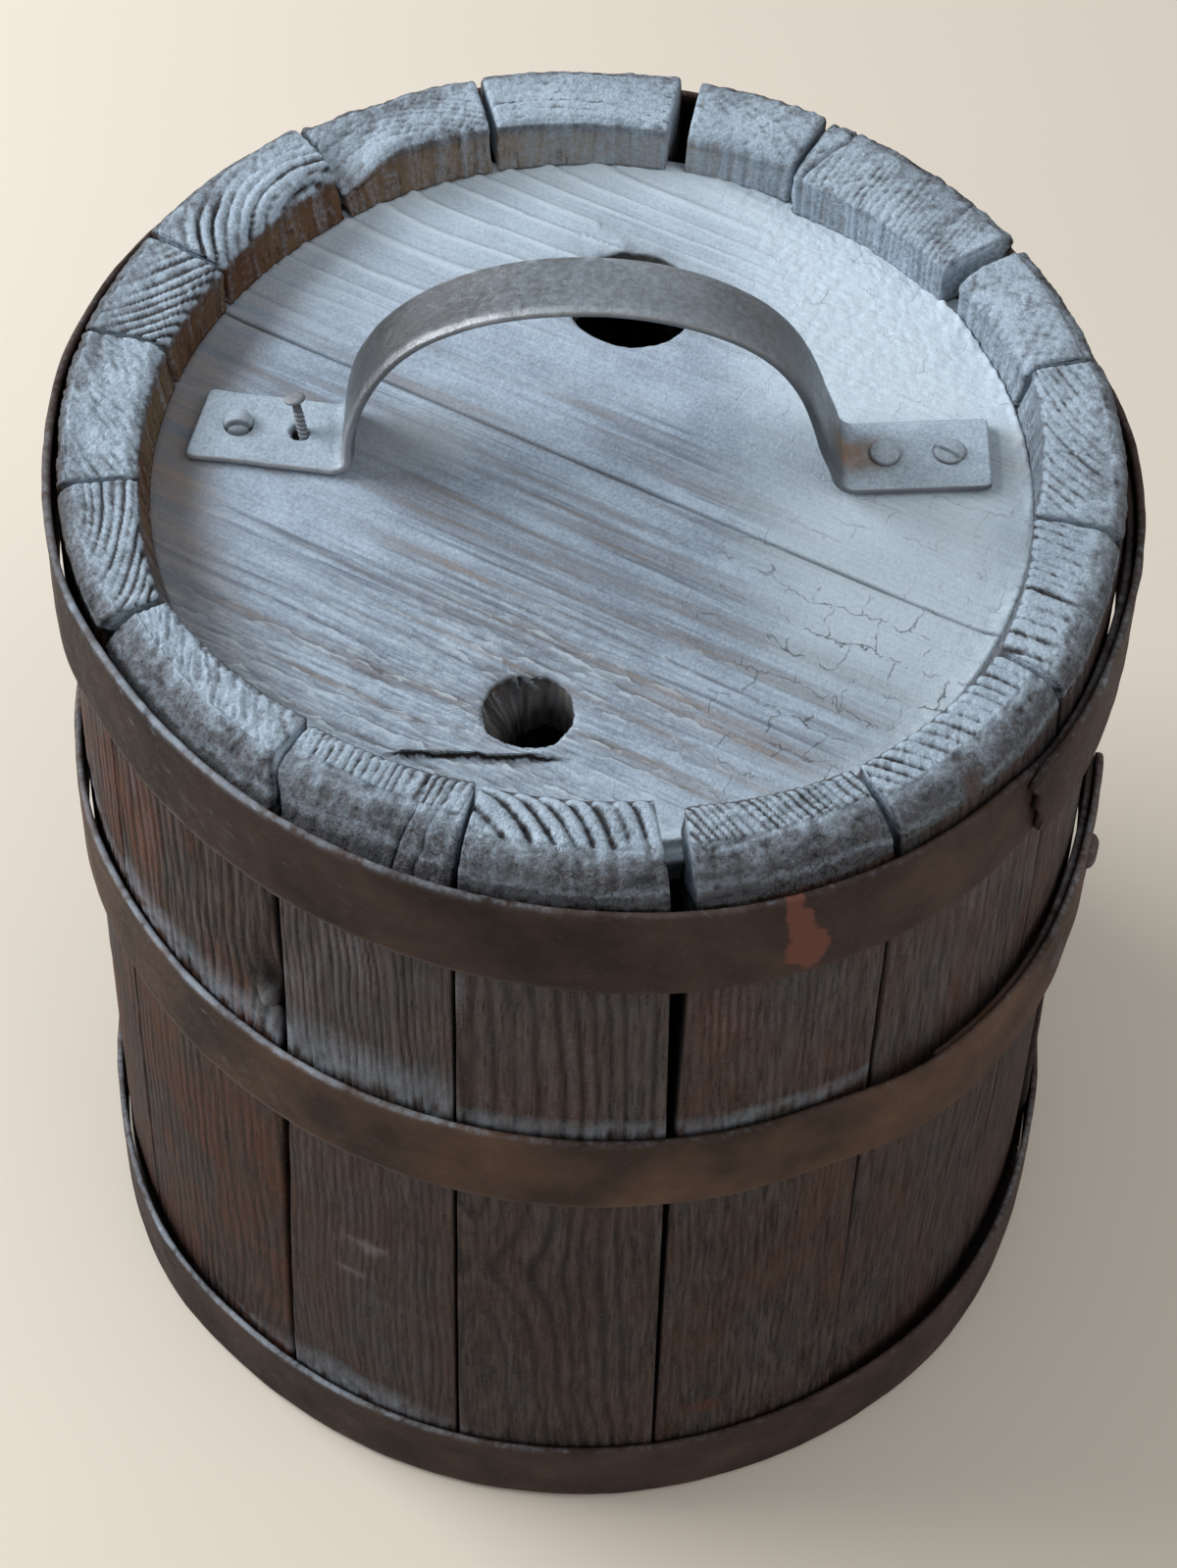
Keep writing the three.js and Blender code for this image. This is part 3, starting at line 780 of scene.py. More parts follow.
@dataclass(frozen=True)
class OutOfRound:
    """How far the dried keg stands out of a true circle at its rim, as steps listed by bearing."""

    steps: tuple[Pair, ...] = (
        (0.0, -0.5), (20.0, -0.5), (50.0, -0.3), (80.0, 0.2), (110.0, 1.0), (140.0, 2.0),
        (165.0, 1.6), (185.0, 0.0), (200.0, -1.4), (215.0, -2.4), (235.0, -3.0), (255.0, -2.8),
        (268.0, -2.2), (280.0, -0.9), (290.0, 0.5), (310.0, 0.8), (325.0, 0.4), (342.0, -1.0),
    )
    spread: float = 11.0
    fades: float = 50.0
    full: float = 265.0

    def at(self, bearing: Array, z: Array) -> Array:
        """Mean of the listed steps under a bell about a bearing, less and less below the rim.

        Args:
            bearing: bearings.
            z: heights.

        Returns:
            Steps out of the true circle.
        """
        total = weight = 0.0
        for place, step in self.steps:
            near = facing(bearing, place, self.spread)
            total, weight = total + near * step, weight + near
        return total / weight * ease(self.fades, self.full, z)


KEG = Shape()
WARP = OutOfRound()
# Bearing and half width of the left side, darkened as painted shade on the staves and hoops.
PAINTED_SHADE_SIDE = (212.0, 32.0)


@dataclass(frozen=True)
class Knot:
    """A place where the grain of a stave bends round a hard lump that sits in a hollow."""

    across: float
    level: float
    size: float
    bend: float
    lump: float = 0.0


@dataclass(frozen=True)
class Stain:
    """A patch of red wood on a stave."""

    across: float
    level: float
    wide: float
    tall: float


@dataclass
class Lay:
    """Places over a stave's grid, and shares that tell which part of the stave each row belongs to."""

    radius: Array
    z: Array
    angle: Array
    across: Array
    out: Array
    side: Array
    turn: Array
    face: Array
    curve: Array
    top: Array
    chime: Array
    normal_r: Array
    normal_z: Array


@dataclass
class Grain:
    """Fields of wood over a stave's grid, from ring grooves to splits, and the share of the inner rim."""

    groove: Array
    crumb: Array
    coarse: Array
    fibre: Array
    wrinkle: Array
    stroke: Array
    split: Array
    inward: Array


@dataclass(frozen=True)
class Stave:
    """One stave: where it lies, how its rings run and how it has worn.

    The pith is given across the rim from the stave's middle and outward from its inner face. The inset
    is how far the rim's inner edge stands back from the true circle at both ends of the stave.
    """

    number: int
    start: float
    end: float
    start_gap: Triple
    end_gap: Triple
    pith: Pair
    pitch: float
    ridge: float
    rough: float
    inset: Pair
    drop: float = 0.0
    bevel: float = 2.0
    round: float = 9.0
    crisp: float = 0.15
    lean: float = 0.03
    stroke: float = 40.0
    stroked: float = 0.3
    cross: float = 0.0
    dusty: float = 1.0
    red: float = 0.4
    light: float = 0.1
    ledge: float = 9.0
    slack: float = 0.0
    slump: float = 0.0
    lined: float = 1.0
    start_skew: float = 0.0
    end_skew: float = 0.0
    splits: tuple[Pair, ...] = ()
    scuffs: tuple[Four, ...] = ()
    knots: tuple[Knot, ...] = ()
    stains: tuple[Stain, ...] = ()

    FACE_ROWS = 80
    ROUND_ROWS = 22
    TOP_ROWS = 11
    BEVEL_ROWS = 6
    CHIME_ROWS = 12
    INSIDE_ROWS = 75
    FOOT = 2.0
    FOOT_LEDGE = 29.0
    WAIST_LEDGE = 188.5
    RIM_LEDGE = 277.5
    UPPER = (165.0, 200.0)
    BLEACHED = (170.0, 200.0)
    CROWDED = 5.0
    CROWD_REACH = 14.0
    DRIFT = (352.0, 26.0)
    LOWER_LEFT = (243.0, 14.0)
    SHADED = (172.0, 52.0)
    LIT_DUSTY_WALL = (50.0, 54.0)

    def loop(self) -> Arrays:
        """Section of the stave as radius and height: up the outside, over the rim and down the inside.

        Returns:
            Radii and heights, the first half from the foot to the rim's middle, the second half back.
        """
        top = KEG.length - self.drop
        level = top - self.round
        centre = KEG.outer(level) - self.round
        even = np.linspace(self.FOOT, level, 401)
        crowd = np.ones_like(even)
        for knot in self.knots:
            crowd = crowd + self.CROWDED * hump(even - knot.level - 3.0, self.CROWD_REACH) * (knot.lump > 0.0)
        crowd = np.cumsum(crowd)
        face = np.interp(np.linspace(crowd[0], crowd[-1], self.FACE_ROWS + 1), crowd, even)[1:]
        share = np.linspace(0.0, 1.0, self.ROUND_ROWS + 1)[1:]
        angle = share * pi / 2
        rise = self.round * ((1.0 - self.crisp) * np.sin(angle) + self.crisp * share)
        run = self.round * ((1.0 - self.crisp) * np.cos(angle) + self.crisp * (1.0 - share))
        edge = KEG.inner(top)
        flat = np.linspace(centre, edge + self.bevel, 2 * self.TOP_ROWS + 1)[1:]
        corner = np.linspace(0.0, pi / 2, self.BEVEL_ROWS + 1)[1:]
        groove = KEG.head_level + KEG.fit
        groove_foot = KEG.head_level - KEG.tongue - KEG.fit
        chime = np.linspace(top - self.bevel, groove, self.CHIME_ROWS + 1)[1:]
        base = KEG.base_level + KEG.tongue + KEG.fit
        base_foot = KEG.base_level - KEG.fit
        inside = np.linspace(groove_foot, base, self.INSIDE_ROWS + 1)[1:]
        foot = np.array([0.0, 0.6, self.FOOT])
        cut = np.array([groove, groove_foot, groove_foot])
        tail = np.array([base, base_foot, base_foot, 8.0, 1.5, 0.0, 0.0])
        heights = [
            foot, face, level + rise, np.full(flat.size, top),
            top - self.bevel * (1.0 - np.cos(corner)), chime, cut, inside, tail,
        ]
        deep = KEG.croze
        radii = [
            KEG.outer(foot) - np.array([self.FOOT, 0.8, 0.0]), KEG.outer(face), centre + run, flat,
            edge + self.bevel * (1.0 - np.sin(corner)), KEG.inner(chime),
            KEG.inner(cut) + np.array([deep, deep, 0.0]), KEG.inner(inside),
            KEG.inner(tail) + np.array([deep, deep, 0.0, 0.0, 0.0, 1.5, 4.0]),
        ]
        return np.concatenate(radii), np.concatenate(heights)

    def columns(self) -> Array:
        """Shares of the stave's width, half a millimetre apart at the rim and closer at both edges.

        Returns:
            Shares from 0 to 1.
        """
        width = radians(self.end - self.start) * KEG.rim_radius
        edge = np.array([0.0, 0.12, 0.35, 0.7, 1.15])
        middle = np.linspace(1.7, width - 1.7, int((width - 3.4) / 0.5))
        return np.concatenate([edge, middle, width - edge[::-1]]) / width

    @staticmethod
    def gap(widths: Triple, z: Array) -> Array:
        """Width of a seam at a height: straight from foot to waist and from waist to rim."""
        rim, waist, foot = widths
        return np.interp(z, [0.0, KEG.waist, KEG.length], [foot, waist, rim])

    def lay(self) -> Lay:
        """Carries the section across the stave's width, between its seams, out of true as the keg has dried.

        Returns:
            Places over the grid, with the shares of the parts of the stave.
        """
        base, z = (v[:, None] for v in self.loop())
        share = self.columns()[None, :]
        seed = 100 * self.number
        marks = np.cumsum(
            [3, self.FACE_ROWS, self.ROUND_ROWS, 2 * self.TOP_ROWS, self.BEVEL_ROWS, self.CHIME_ROWS]
        )
        row = np.arange(base.size)[:, None]
        face, curve, flat, corner, chime = (
            ((row >= low) & (row < high)) * 1.0 for low, high in zip(marks[:-1], marks[1:])
        )
        out = base - KEG.inner(z)
        ahead = np.roll(base, -1, 0) - np.roll(base, 1, 0)
        rise = np.roll(z, -1, 0) - np.roll(z, 1, 0)
        long = np.maximum(np.hypot(ahead, rise), 1e-9)
        chip = 0.35 * ease(240.0, 280.0, z)
        low = self.gap(self.start_gap, z) / 2 + chip * (1.0 + smooth(z / 5.0, 0.3, seed))
        high = self.gap(self.end_gap, z) / 2 + chip * (1.0 + smooth(z / 5.0, 7.3, seed))
        swing = ease(13.0, 20.0, out) * (0.5 + 0.5 * ease(20.0, 230.0, z))
        begin = np.radians(self.start + self.start_skew * swing) + np.arcsin(low / base)
        stop = np.radians(self.end + self.end_skew * swing) - np.arcsin(high / base)
        angle = begin + (stop - begin) * share
        middle = radians((self.start + self.end) / 2)
        across = (angle - middle) * base
        passed = clipped((row - marks[2] + 1.0) / (2 * self.TOP_ROWS))
        inset = self.inset[0] + (self.inset[1] - self.inset[0]) * share
        lower = np.where(inset > 0.0, ease(KEG.head_level, KEG.length - self.drop - self.bevel, z), 1.0)
        pull = flat * passed + corner + chime * lower
        push = (row < marks[0]) + face + curve + flat * (1.0 - passed)
        radius = (
            base + pull * inset + push * WARP.at(np.degrees(angle), z)
            - face * self.slack * ease(170.0, 60.0, z)
        )
        groove = KEG.head_level + KEG.fit
        wall = (z - groove) / (KEG.length - self.drop - groove)
        sink = self.slump * ease(2.0, 20.0, across) * (flat * ease(15.0, 2.0, out) + corner + chime * wall)
        tall = z - sink * ((flat + corner) + chime)
        side = np.minimum(share, 1.0 - share) * (stop - begin) * base
        turn = clipped((row - marks[1] + 1.0) / self.ROUND_ROWS)
        late = (row >= marks[4] - 2) * corner
        return Lay(radius, tall, angle, across, out * np.ones_like(across), side, turn, face, curve,
                   flat + corner - late, chime + late, rise / long, -ahead / long)

    def rings(self, lay: Lay) -> Array:
        """Grooves between rings: distance from the leaning pith over the ring pitch, under narrow bells.

        Args:
            lay: places over the grid.

        Returns:
            Depths from 0 to 1.
        """
        seed = 10 * self.number
        down = KEG.length - lay.z
        across = lay.across
        sway = (
            2.2 * smooth(down / 70.0, across / 30.0, seed) + 0.5 * smooth(down / 16.0, across / 7.0, seed + 1)
        )
        for knot in self.knots:
            bend = knot.bend * hump(across - knot.across, knot.size)
            sway = sway + bend * hump(lay.z - knot.level, 1.3 * knot.size)
        distance = np.hypot(
            across - self.pith[0] - self.lean * down, lay.out - self.pith[1] - 0.4 * self.lean * down
        )
        phase = (distance + sway) / self.pitch
        phase = phase + 0.55 * smooth(phase / 2.7, 0.5, seed + 2)
        ring = np.floor(phase)
        depth = 0.72 + 0.28 * lattice(ring, 0.0 * ring, seed + 3)
        return depth * hump(phase - ring - 0.5, 0.19)

    def grain(self, lay: Lay) -> Grain:
        """Works out the fields of wood: noises drawn out along the grain, the tool's stroke or the round.

        Args:
            lay: places over the grid.

        Returns:
            The fields.
        """
        seed = 100 * self.number
        across, out, z = lay.across, lay.out, lay.z
        arc = lay.turn * self.round * pi / 2
        turn = radians(self.stroke)
        over, on = across * cos(turn) + out * sin(turn), out * cos(turn) - across * sin(turn)
        stroke = fractal(over / 0.9, on / 4.5, seed + 9, 3)
        if self.cross:
            other = fractal(over / 6.0, on / 1.1, seed + 12, 3)
            stroke = np.minimum(stroke, other) * self.cross + stroke * (1.0 - self.cross)
        split = np.zeros_like(across)
        for place, depth in self.splits:
            off = across - place - 0.9 * smooth(out / 4.0 - z / 9.0, 0.5, seed + int(place) + 40)
            split = np.maximum(split, depth * hump(off, 0.34) * ease(-3.0, 4.0, out + 2.0 * lay.top))
        return Grain(
            self.rings(lay),
            fractal(across / 2.2, (out + z) / 2.2, seed + 3),
            fractal(across / 9.0, (out - z) / 9.0, seed + 4, 3),
            fractal(across / 1.3, z / 26.0, seed + 7, 3),
            fractal(across / 5.5, arc / 1.9, seed + 10, 4),
            stroke, split, ease(17.0, 9.0, out),
        )

    def cut(self, lay: Lay, wood: Grain) -> Array:
        """Wears the true section: ridged on the rim, wrinkled on its round, grained on the outside.

        Args:
            lay: places over the grid.
            wood: fields of wood.

        Returns:
            Depths along the normals.
        """
        seed = 100 * self.number
        strength = 0.75 + 0.35 * smooth(lay.across / 11.0, lay.out / 6.0, seed + 6)
        rim = 1.25 * self.ridge * wood.groove * strength * (0.15 + 0.85 * wood.inward)
        rim = (
            rim + self.rough * (0.22 * (1.0 - wood.crumb) + 0.35 * (1.0 - wood.coarse))
            + self.stroked * (0.5 - 0.5 * wood.stroke)
        )
        curve = (
            self.rough
            * (0.55 * (1.0 - wood.crumb) + 0.35 * (1.0 - wood.coarse) + 0.55 * (1.0 - wood.wrinkle))
        )
        curve = curve + self.ridge * wood.groove * (0.10 + 0.3 * lay.turn)
        below = np.clip(KEG.length - self.drop - self.round - lay.z, 0.0, None)
        near_rim = ease(14.0, 0.0, below)
        face = (
            (0.18 + 0.16 * ease(*self.UPPER, lay.z)) * self.lined * wood.groove + 0.16 * (1.0 - wood.fibre)
            + 0.16 * (1.0 - wood.coarse)
        )
        face = face + near_rim * (0.5 * self.rough * (1.0 - wood.crumb) + 0.2)
        chime = 0.25 * wood.groove + 0.2 * (1.0 - wood.fibre)
        total = lay.top * rim + lay.curve * curve + lay.face * face + lay.chime * chime
        total = total + (lay.top + lay.curve + lay.face * near_rim + 0.5 * lay.chime) * wood.split
        for knot in self.knots:
            hollow = hump(lay.across - knot.across, 0.45 * knot.size)
            hollow = hollow * hump(lay.z - knot.level - 0.6 * knot.size, 1.5 * knot.size)
            bead = hump(np.hypot(lay.across - knot.across, lay.z - knot.level), 0.36 * knot.size)
            total = total + lay.face * knot.lump * (0.9 * hollow - 1.9 * bead)
        return total

    def build(self, finish: Material) -> None:
        """Builds the stave: its section carried across, worn along its normals, with two side faces.

        Args:
            finish: the stave wood.
        """
        lay = self.lay()
        wood = self.grain(lay)
        seed = 100 * self.number
        rim = lay.top + lay.curve
        soft = (
            0.25 + 0.5 * (lay.face + lay.chime)
            + rim * (0.6 + 0.5 * smooth(lay.across / 6.0, lay.out / 6.0, seed + 8))
        )
        short = np.clip(soft - lay.side, 0.0, None)
        fall = soft - np.sqrt(np.clip(soft**2 - short**2, 0.0, None))
        moved = -(self.cut(lay, wood) + fall)
        wide = lay.radius + lay.normal_r * moved
        points = wound(wide, lay.angle, lay.z + lay.normal_z * moved)
        coat = self.coat(lay, wood, fall)
        half = points.shape[0] // 2
        skin = Skin()
        skin.grid(points, coat, wrap=True)
        steps = np.linspace(0.0, 1.0, 6)[None, :, None]
        for column in (0, -1):
            cap = between(points[:half, column][:, None], points[:half - 1:-1, column][:, None], steps)
            # Side faces in the seams: painted shade deep in the seam, painted light and dust towards the rim.
            lit = ease(250.0, 282.0, cap[..., 2])
            skin.grid(cap, stacked(0.75 * lit, 0.85 * (1.0 - lit), 0.0, 0.5 * lit))
        name = f"stave_{self.number:02d}"
        skin.piece(f"{name}_worn", Body.CASK, Slot.STAVE, finish, name)

    def coat(self, lay: Lay, wood: Grain, fall: Array) -> Array:
        """Shares of dust, dark cracks, red wood and lighter wood over the stave.

        Args:
            lay: places over the grid.
            wood: fields of wood.
            fall: how far the edges are worn down.

        Returns:
            Four shares at each point.
        """
        seed = 100 * self.number + 50
        across, z = lay.across, lay.z
        face, curve, top, chime = lay.face, lay.curve, lay.top, lay.chime
        veil = fractal(across / 14.0, z / 22.0, seed, 3)
        deep = np.clip(1.8 * self.ridge, 0.3, 1.0) * wood.groove
        lying = self.dusty * (0.86 + 0.25 * wood.crumb + 0.25 * wood.coarse + 0.3 * wood.stroke)
        dust_top = clipped(lying - 1.1 * deep * (0.25 + 0.75 * wood.inward)) * (0.62 + 0.38 * wood.inward)
        bearing = np.degrees(lay.angle)
        drifted = (
            0.12 + 0.46 * lay.turn**2 + 0.3 * lay.turn**8 * wood.inward + 0.12 * facing(bearing, *self.DRIFT)
        )
        dust_curve = clipped(drifted * (0.85 + 0.4 * wood.crumb + 0.4 * wood.wrinkle))
        shelf = np.zeros_like(across)
        lower_left = facing(bearing, *self.LOWER_LEFT)
        ledges = (
            (self.FOOT_LEDGE, 4.0 + 18.0 * lower_left, 0.15 + 0.3 * lower_left),
            (self.WAIST_LEDGE, self.ledge, 0.40),
            (self.RIM_LEDGE, 4.5, 0.34),
        )
        for level, reach, amount in ledges:
            above = z - level + 0.25 * reach * (veil + 0.6 * wood.crumb)
            shelf = shelf + amount * ease(-0.5, 1.0, above) * ease(reach, 0.2 * reach, above)
        ridge_dust = (0.16 + 0.2 * lower_left) * (0.5 + veil) * (1.0 - wood.groove) * ease(150.0, 235.0, z)
        dust_face = clipped(shelf * (0.75 + 0.6 * wood.crumb) + ridge_dust)
        shaded = facing(bearing, *self.SHADED)
        # Painted shade on the left side, and darker towards the bottom.
        shade_left_darker_low = 0.20 * ease(185.0, 120.0, z) + 0.16 * facing(bearing, *PAINTED_SHADE_SIDE)
        # On the inner wall: real dust, made heavier where the wall faces the window lamp as painted light,
        # and scarce on the shaded left.
        chime_dust_and_light = clipped(0.14 + 0.54 * facing(bearing, *self.LIT_DUSTY_WALL) + 0.25 * wood.fibre)
        dust = top * dust_top + curve * np.maximum(dust_curve, shelf) + face * dust_face + chime * chime_dust_and_light
        dark = top * (0.62 * deep * (0.35 + 0.65 * wood.inward) + 0.35 * ease(0.2, 0.7, -wood.crumb))
        dark = dark + curve * (0.06 + 0.45 * ease(0.1, 0.6, -0.5 * wood.wrinkle - 0.6 * wood.crumb))
        ringed = sum(
            hump(np.hypot(across - knot.across, z - knot.level), 3.0 * knot.size) for knot in self.knots
        )
        lined = (0.42 + 0.25 * ease(*self.UPPER, z) + 0.16 * ringed) * self.lined * wood.groove
        dark = dark + face * (lined + 0.06 + shade_left_darker_low) + chime * (0.30 * wood.groove + 0.05)
        dark = np.maximum(dark, np.clip(fall / 1.6, 0.0, 0.9) * (top + curve + face))
        dark = np.maximum(dark, clipped(1.2 * wood.split) * (top + curve + 0.5 * chime))
        shown = clipped(face + curve + top + chime)
        dark = np.maximum(dark, 0.3 * (1.0 - shown))
        # On the inner wall the red share rises on the shaded left side as painted warm shade.
        red = (face * self.red + (0.1 + 0.9 * shaded) * chime + 0.05 * curve) * clipped(0.5 + 1.3 * veil)
        for stain in self.stains:
            off = np.hypot((across - stain.across) / stain.wide, (z - stain.level) / stain.tall)
            spot = hump(off + 0.35 * wood.crumb, 0.9)
            red = np.maximum(red, spot * (face + curve))
            dust = dust * (1.0 - spot)
        bright = self.light + 0.16 * ease(*self.BLEACHED, z) + 0.30 * wood.fibre * (1.0 - wood.groove)
        light = face * np.clip(bright, 0.0, 0.6)
        light = light + 0.85 * chime + 0.75 * top + 0.62 * curve
        for place, level, wide, tall in self.scuffs:
            spot = hump(np.hypot((across - place) / wide, (z - level) / tall) + 0.6 * wood.crumb, 0.8) * face
            light, dust, red = light + 0.6 * spot, dust + 0.22 * spot, red + 0.2 * spot
            dark = dark * (1.0 - 0.6 * spot)
        # Knots: the hollow is dark, partly dark wood and partly painted shade, and the lump paler as a
        # painted highlight.
        for knot in self.knots:
            hard = knot.lump > 0.0
            near = hump(across - knot.across, 0.5 * knot.size)
            near = near * hump(z - knot.level - 0.6 * knot.size, 1.6 * knot.size)
            bead = hump(np.hypot(across - knot.across, z - knot.level), 0.34 * knot.size)
            dark = np.maximum(dark, face * 0.85 * near * hard) * (1.0 - 0.8 * bead * hard)
            light = light + 0.9 * bead * face * hard
            dust = dust + 0.15 * bead * face * hard
        return clipped(stacked(dust, dark, red, light))


@dataclass(frozen=True)
class Hole:
    """A hole through a head board, torn on one side."""

    bearing: float
    distance: float
    radius: float
    ragged: float
    torn_towards: float = 0.0
    torn: float = 0.0
    stained: float = 0.0


@dataclass(frozen=True)
class HeadBoard:
    """One board of a head: a part of a disc beyond a straight seam, with grain along the seam.

    The board's own axes run along the seam and across it, turned from X and Y by the seam's turn.
    """

    node: str
    face: float
    up: float
    radius: float
    turn: float
    offset: float
    side: float
    seed: int
    hole: Hole | None = None
    split: Pair | None = None
    gap: float = 0.5
    coarse: float = 1.0

    COLUMN_STEP = 0.85
    ROW_STEP = 0.62
    PATCH_ROWS = 9
    WALL_ROWS = 17
    HEAP_RIGHT = (15.0, 75.0)
    HEAP_FRONT = (300.0, 40.0)
    SHADED = (178.0, 36.0)
    SCORCHED = (105.0, 55.0)
    DUSTY_HOLE = (45.0, 28.0)
    TORN_TURN = 70.0
    INSIDE_COAT = (0.8, 0.1, 0.3, 0.0)
    EDGE_COAT = (0.3, 0.8, 0.2, 0.0)
    HOLE_COAT = (0.8, 0.3, 0.3, 0.0)

    def world(self, along: Array, over: Array) -> Arrays:
        """Returns X and Y of points given along and across the seam."""
        c, s = cos(radians(self.turn)), sin(radians(self.turn))
        return along * c - over * s, along * s + over * c

    def local(self, x: float, y: float) -> Pair:
        """Returns the place along and across the seam of a point in X and Y."""
        c, s = cos(radians(self.turn)), sin(radians(self.turn))
        return x * c + y * s, y * c - x * s

    def plan(self) -> Arrays:
        """Lays rows across the grain from the seam to the far edge, and columns that share each chord.

        Returns:
            Places along and across the seam.
        """
        seam = self.offset + self.side * self.gap / 2
        far = self.side * self.radius
        over = np.linspace(seam, far, int(abs(far - seam) / self.ROW_STEP / self.coarse))[:, None]
        chord = np.sqrt(np.clip(self.radius**2 - over**2, 0.0, None))
        share = np.linspace(-1.0, 1.0, int(2 * self.radius / self.COLUMN_STEP / self.coarse))[None, :]
        return chord * share, over * np.ones_like(share)

    def under(self, along: Array, over: Array) -> Array:
        """Thickness below the face: full in the middle, bevelled to a tongue at the rim."""
        shoulder = self.radius - KEG.croze
        return np.interp(
            np.hypot(along, over), [shoulder - KEG.bevel_run, shoulder], [KEG.head_thickness, KEG.tongue]
        )

    def torn_edge(self, angle: Array) -> Array:
        """Radius of the hole at an angle: its radius, ragged by noise round the circle."""
        wave = fractal(2.2 * np.cos(angle) + 5.0, 2.2 * np.sin(angle) + 5.0, self.seed + 9)
        return self.hole.radius * (1.0 + self.hole.ragged * wave)

    def relief(self, along: Array, over: Array) -> Arrays:
        """Face of the board: furrows along the grain, drifted dust, lumps, the seam, a split and a torn hole,
        with painted shade along the left wall and painted shadows of the handle's left leg and right foot.

        Args:
            along, over: places along and across the seam.

        Returns:
            Heights over the plain face, and the four shares of the coat.
        """
        x, y = self.world(along, over)
        ring = np.hypot(x, y)
        seed = self.seed
        bearing = np.degrees(np.arctan2(y, x))
        wall = KEG.inner(self.face)
        reach = np.clip(wall - ring, 0.0, None)
        sway = (
            3.0 * smooth(along / 80.0, over / 30.0, seed) + 0.7 * smooth(along / 22.0, over / 9.0, seed + 1)
        )
        line = over + sway
        pace = line / 7.0 + 0.8 * smooth(line / 15.0, 0.5, seed + 2)
        share = pace - np.floor(pace)
        ridge, slope = hump(share - 0.88, 0.12) + hump(share + 0.12, 0.12), share - 0.5
        # A thin painted shadow just past each ridge at the back.
        ridge_shadow = hump(share - 0.06, 0.07)
        finer = line / 1.7 + 0.5 * smooth(line / 3.0, along / 60.0, seed + 10)
        strength = 0.6 + 0.4 * smooth(np.floor(finer) * 0.7, along / 35.0, seed + 11)
        groove = hump(finer - np.floor(finer) - 0.5, 0.22) * strength
        back = ease(34.0, 58.0, y) * ease(55.0, 15.0, x)
        brick = ease(8.0, 40.0, y) * ease(22.0, 50.0, x)
        left = ease(-15.0, -50.0, y) * ease(30.0, -20.0, x)
        broad = fractal(along / 45.0, over / 9.0, seed + 3, 3)
        fine = fractal(along / 3.0, over / 1.2, seed + 4, 3)
        fuzz = fractal(along / 1.6, over / 1.4, seed + 5, 3)
        lumps = ease(0.05, 0.5, cells(along / 4.5 + 0.4 * fuzz, over / 2.0, seed + 12))
        height = (
            back * (0.5 * ridge + 0.35 * slope) - 0.35 * left * groove - 0.10 * groove + 0.06 * fine
            + 0.05 * fuzz
        )
        height = height + 0.25 * brick * (lumps - 0.6) + 0.22 * left * fine
        drift = 0.6 + 0.4 * smooth(6.0 * x / wall, 6.0 * y / wall, seed + 6)
        pile = 0.7 + 1.7 * facing(bearing, *self.HEAP_RIGHT) + 0.6 * facing(bearing, *self.HEAP_FRONT)
        heap = pile * drift * np.exp(-reach / 3.2) * ease(-0.5, 0.3, wall - ring)
        height = height + heap * (1.0 + 0.5 * fuzz)
        worn = hump(over + 30.0, 20.0) * ease(-70.0, -20.0, along)
        dusted = ease(22.0, 55.0, x) * ease(-60.0, -15.0, y + 0.3 * x)
        near = ease(0.0, -40.0, y)
        bare = 0.55 + 0.75 * broad + 0.45 * worn + 0.3 * near - 0.3 * back - 0.4 * brick - 0.9 * dusted
        bare = bare - (0.7 - 0.3 * near) * np.exp(-reach / 12.0)
        dark = 0.18 * back * ridge_shadow + 0.35 * left * groove + 0.12 * groove + 0.14 * worn + 0.08 * near
        # Painted shade: a warm band along the left wall where its shadow falls, partly thinner dust over
        # brown wood; warm painted shadows of the handle's left leg and right foot; the leg's patch is also
        # paler, so that the cast shadow there reads lighter.
        shade = facing(bearing, *self.SHADED) * ease(77.0, 91.0, ring)
        leg_shadow = hump(x + 44.0 - 0.2 * y, 13.0) * hump(y - 10.0, 8.0)
        foot = hump(x - 93.0, 4.0) * hump(y - 8.0, 9.0)
        warm = 0.9 * shade + 0.4 * leg_shadow + 0.5 * foot
        bare = bare - 0.5 * leg_shadow
        pale = (1.3 - 0.6 * near) * np.exp(-reach / 6.0) * (pile - 0.4) + back * (0.26 + 0.6 * ridge)
        pale = pale + 0.4 * brick * lumps + 0.8 * dusted
        pale = (pale + 0.35 * left * ease(0.1, 0.5, fine)) * clipped(1.0 - warm) + 0.5 * leg_shadow
        seam = np.clip(np.abs(over - self.offset) - self.gap / 2, 0.0, None)
        open_share = 0.55 + 0.45 * smooth(along / 13.0, 0.5, 77)
        height = height - 0.65 * open_share * np.exp(-seam / 0.5)
        dark = np.maximum(dark, 0.65 * open_share * np.exp(-seam / 0.35))
        if self.split:
            height, dark = self.splinter(x, y, height, dark)
        if self.hole:
            cx, cy = self.hole_centre()
            px, py = along - cx, over - cy
            away = np.clip(np.hypot(px, py) - self.torn_edge(np.arctan2(py, px)), 0.0, None)
            strand = 0.6 + 0.4 * fractal(along / 6.0, over / 1.0, seed + 8, 3)
            side = self.torn_share(px, py)
            dip = (0.5 + 0.5 * side) * np.exp(-away / (1.4 + 1.8 * side)) * strand
            height = height - 1.1 * dip
            dark = np.maximum(dark, (0.4 + 0.45 * side) * dip)
            warm = warm + 0.3 * dip
            behind = facing(np.degrees(np.arctan2(py, px)) + self.turn, *self.SCORCHED)
            blotch = ease(-0.6, 0.4, fractal(along / 5.0, over / 3.0, seed + 21, 3))
            scorch = self.hole.stained * behind * np.exp(-away / 5.0) * blotch
            dark = np.maximum(dark, scorch)
            pale = pale * (1.0 - clipped(scorch))
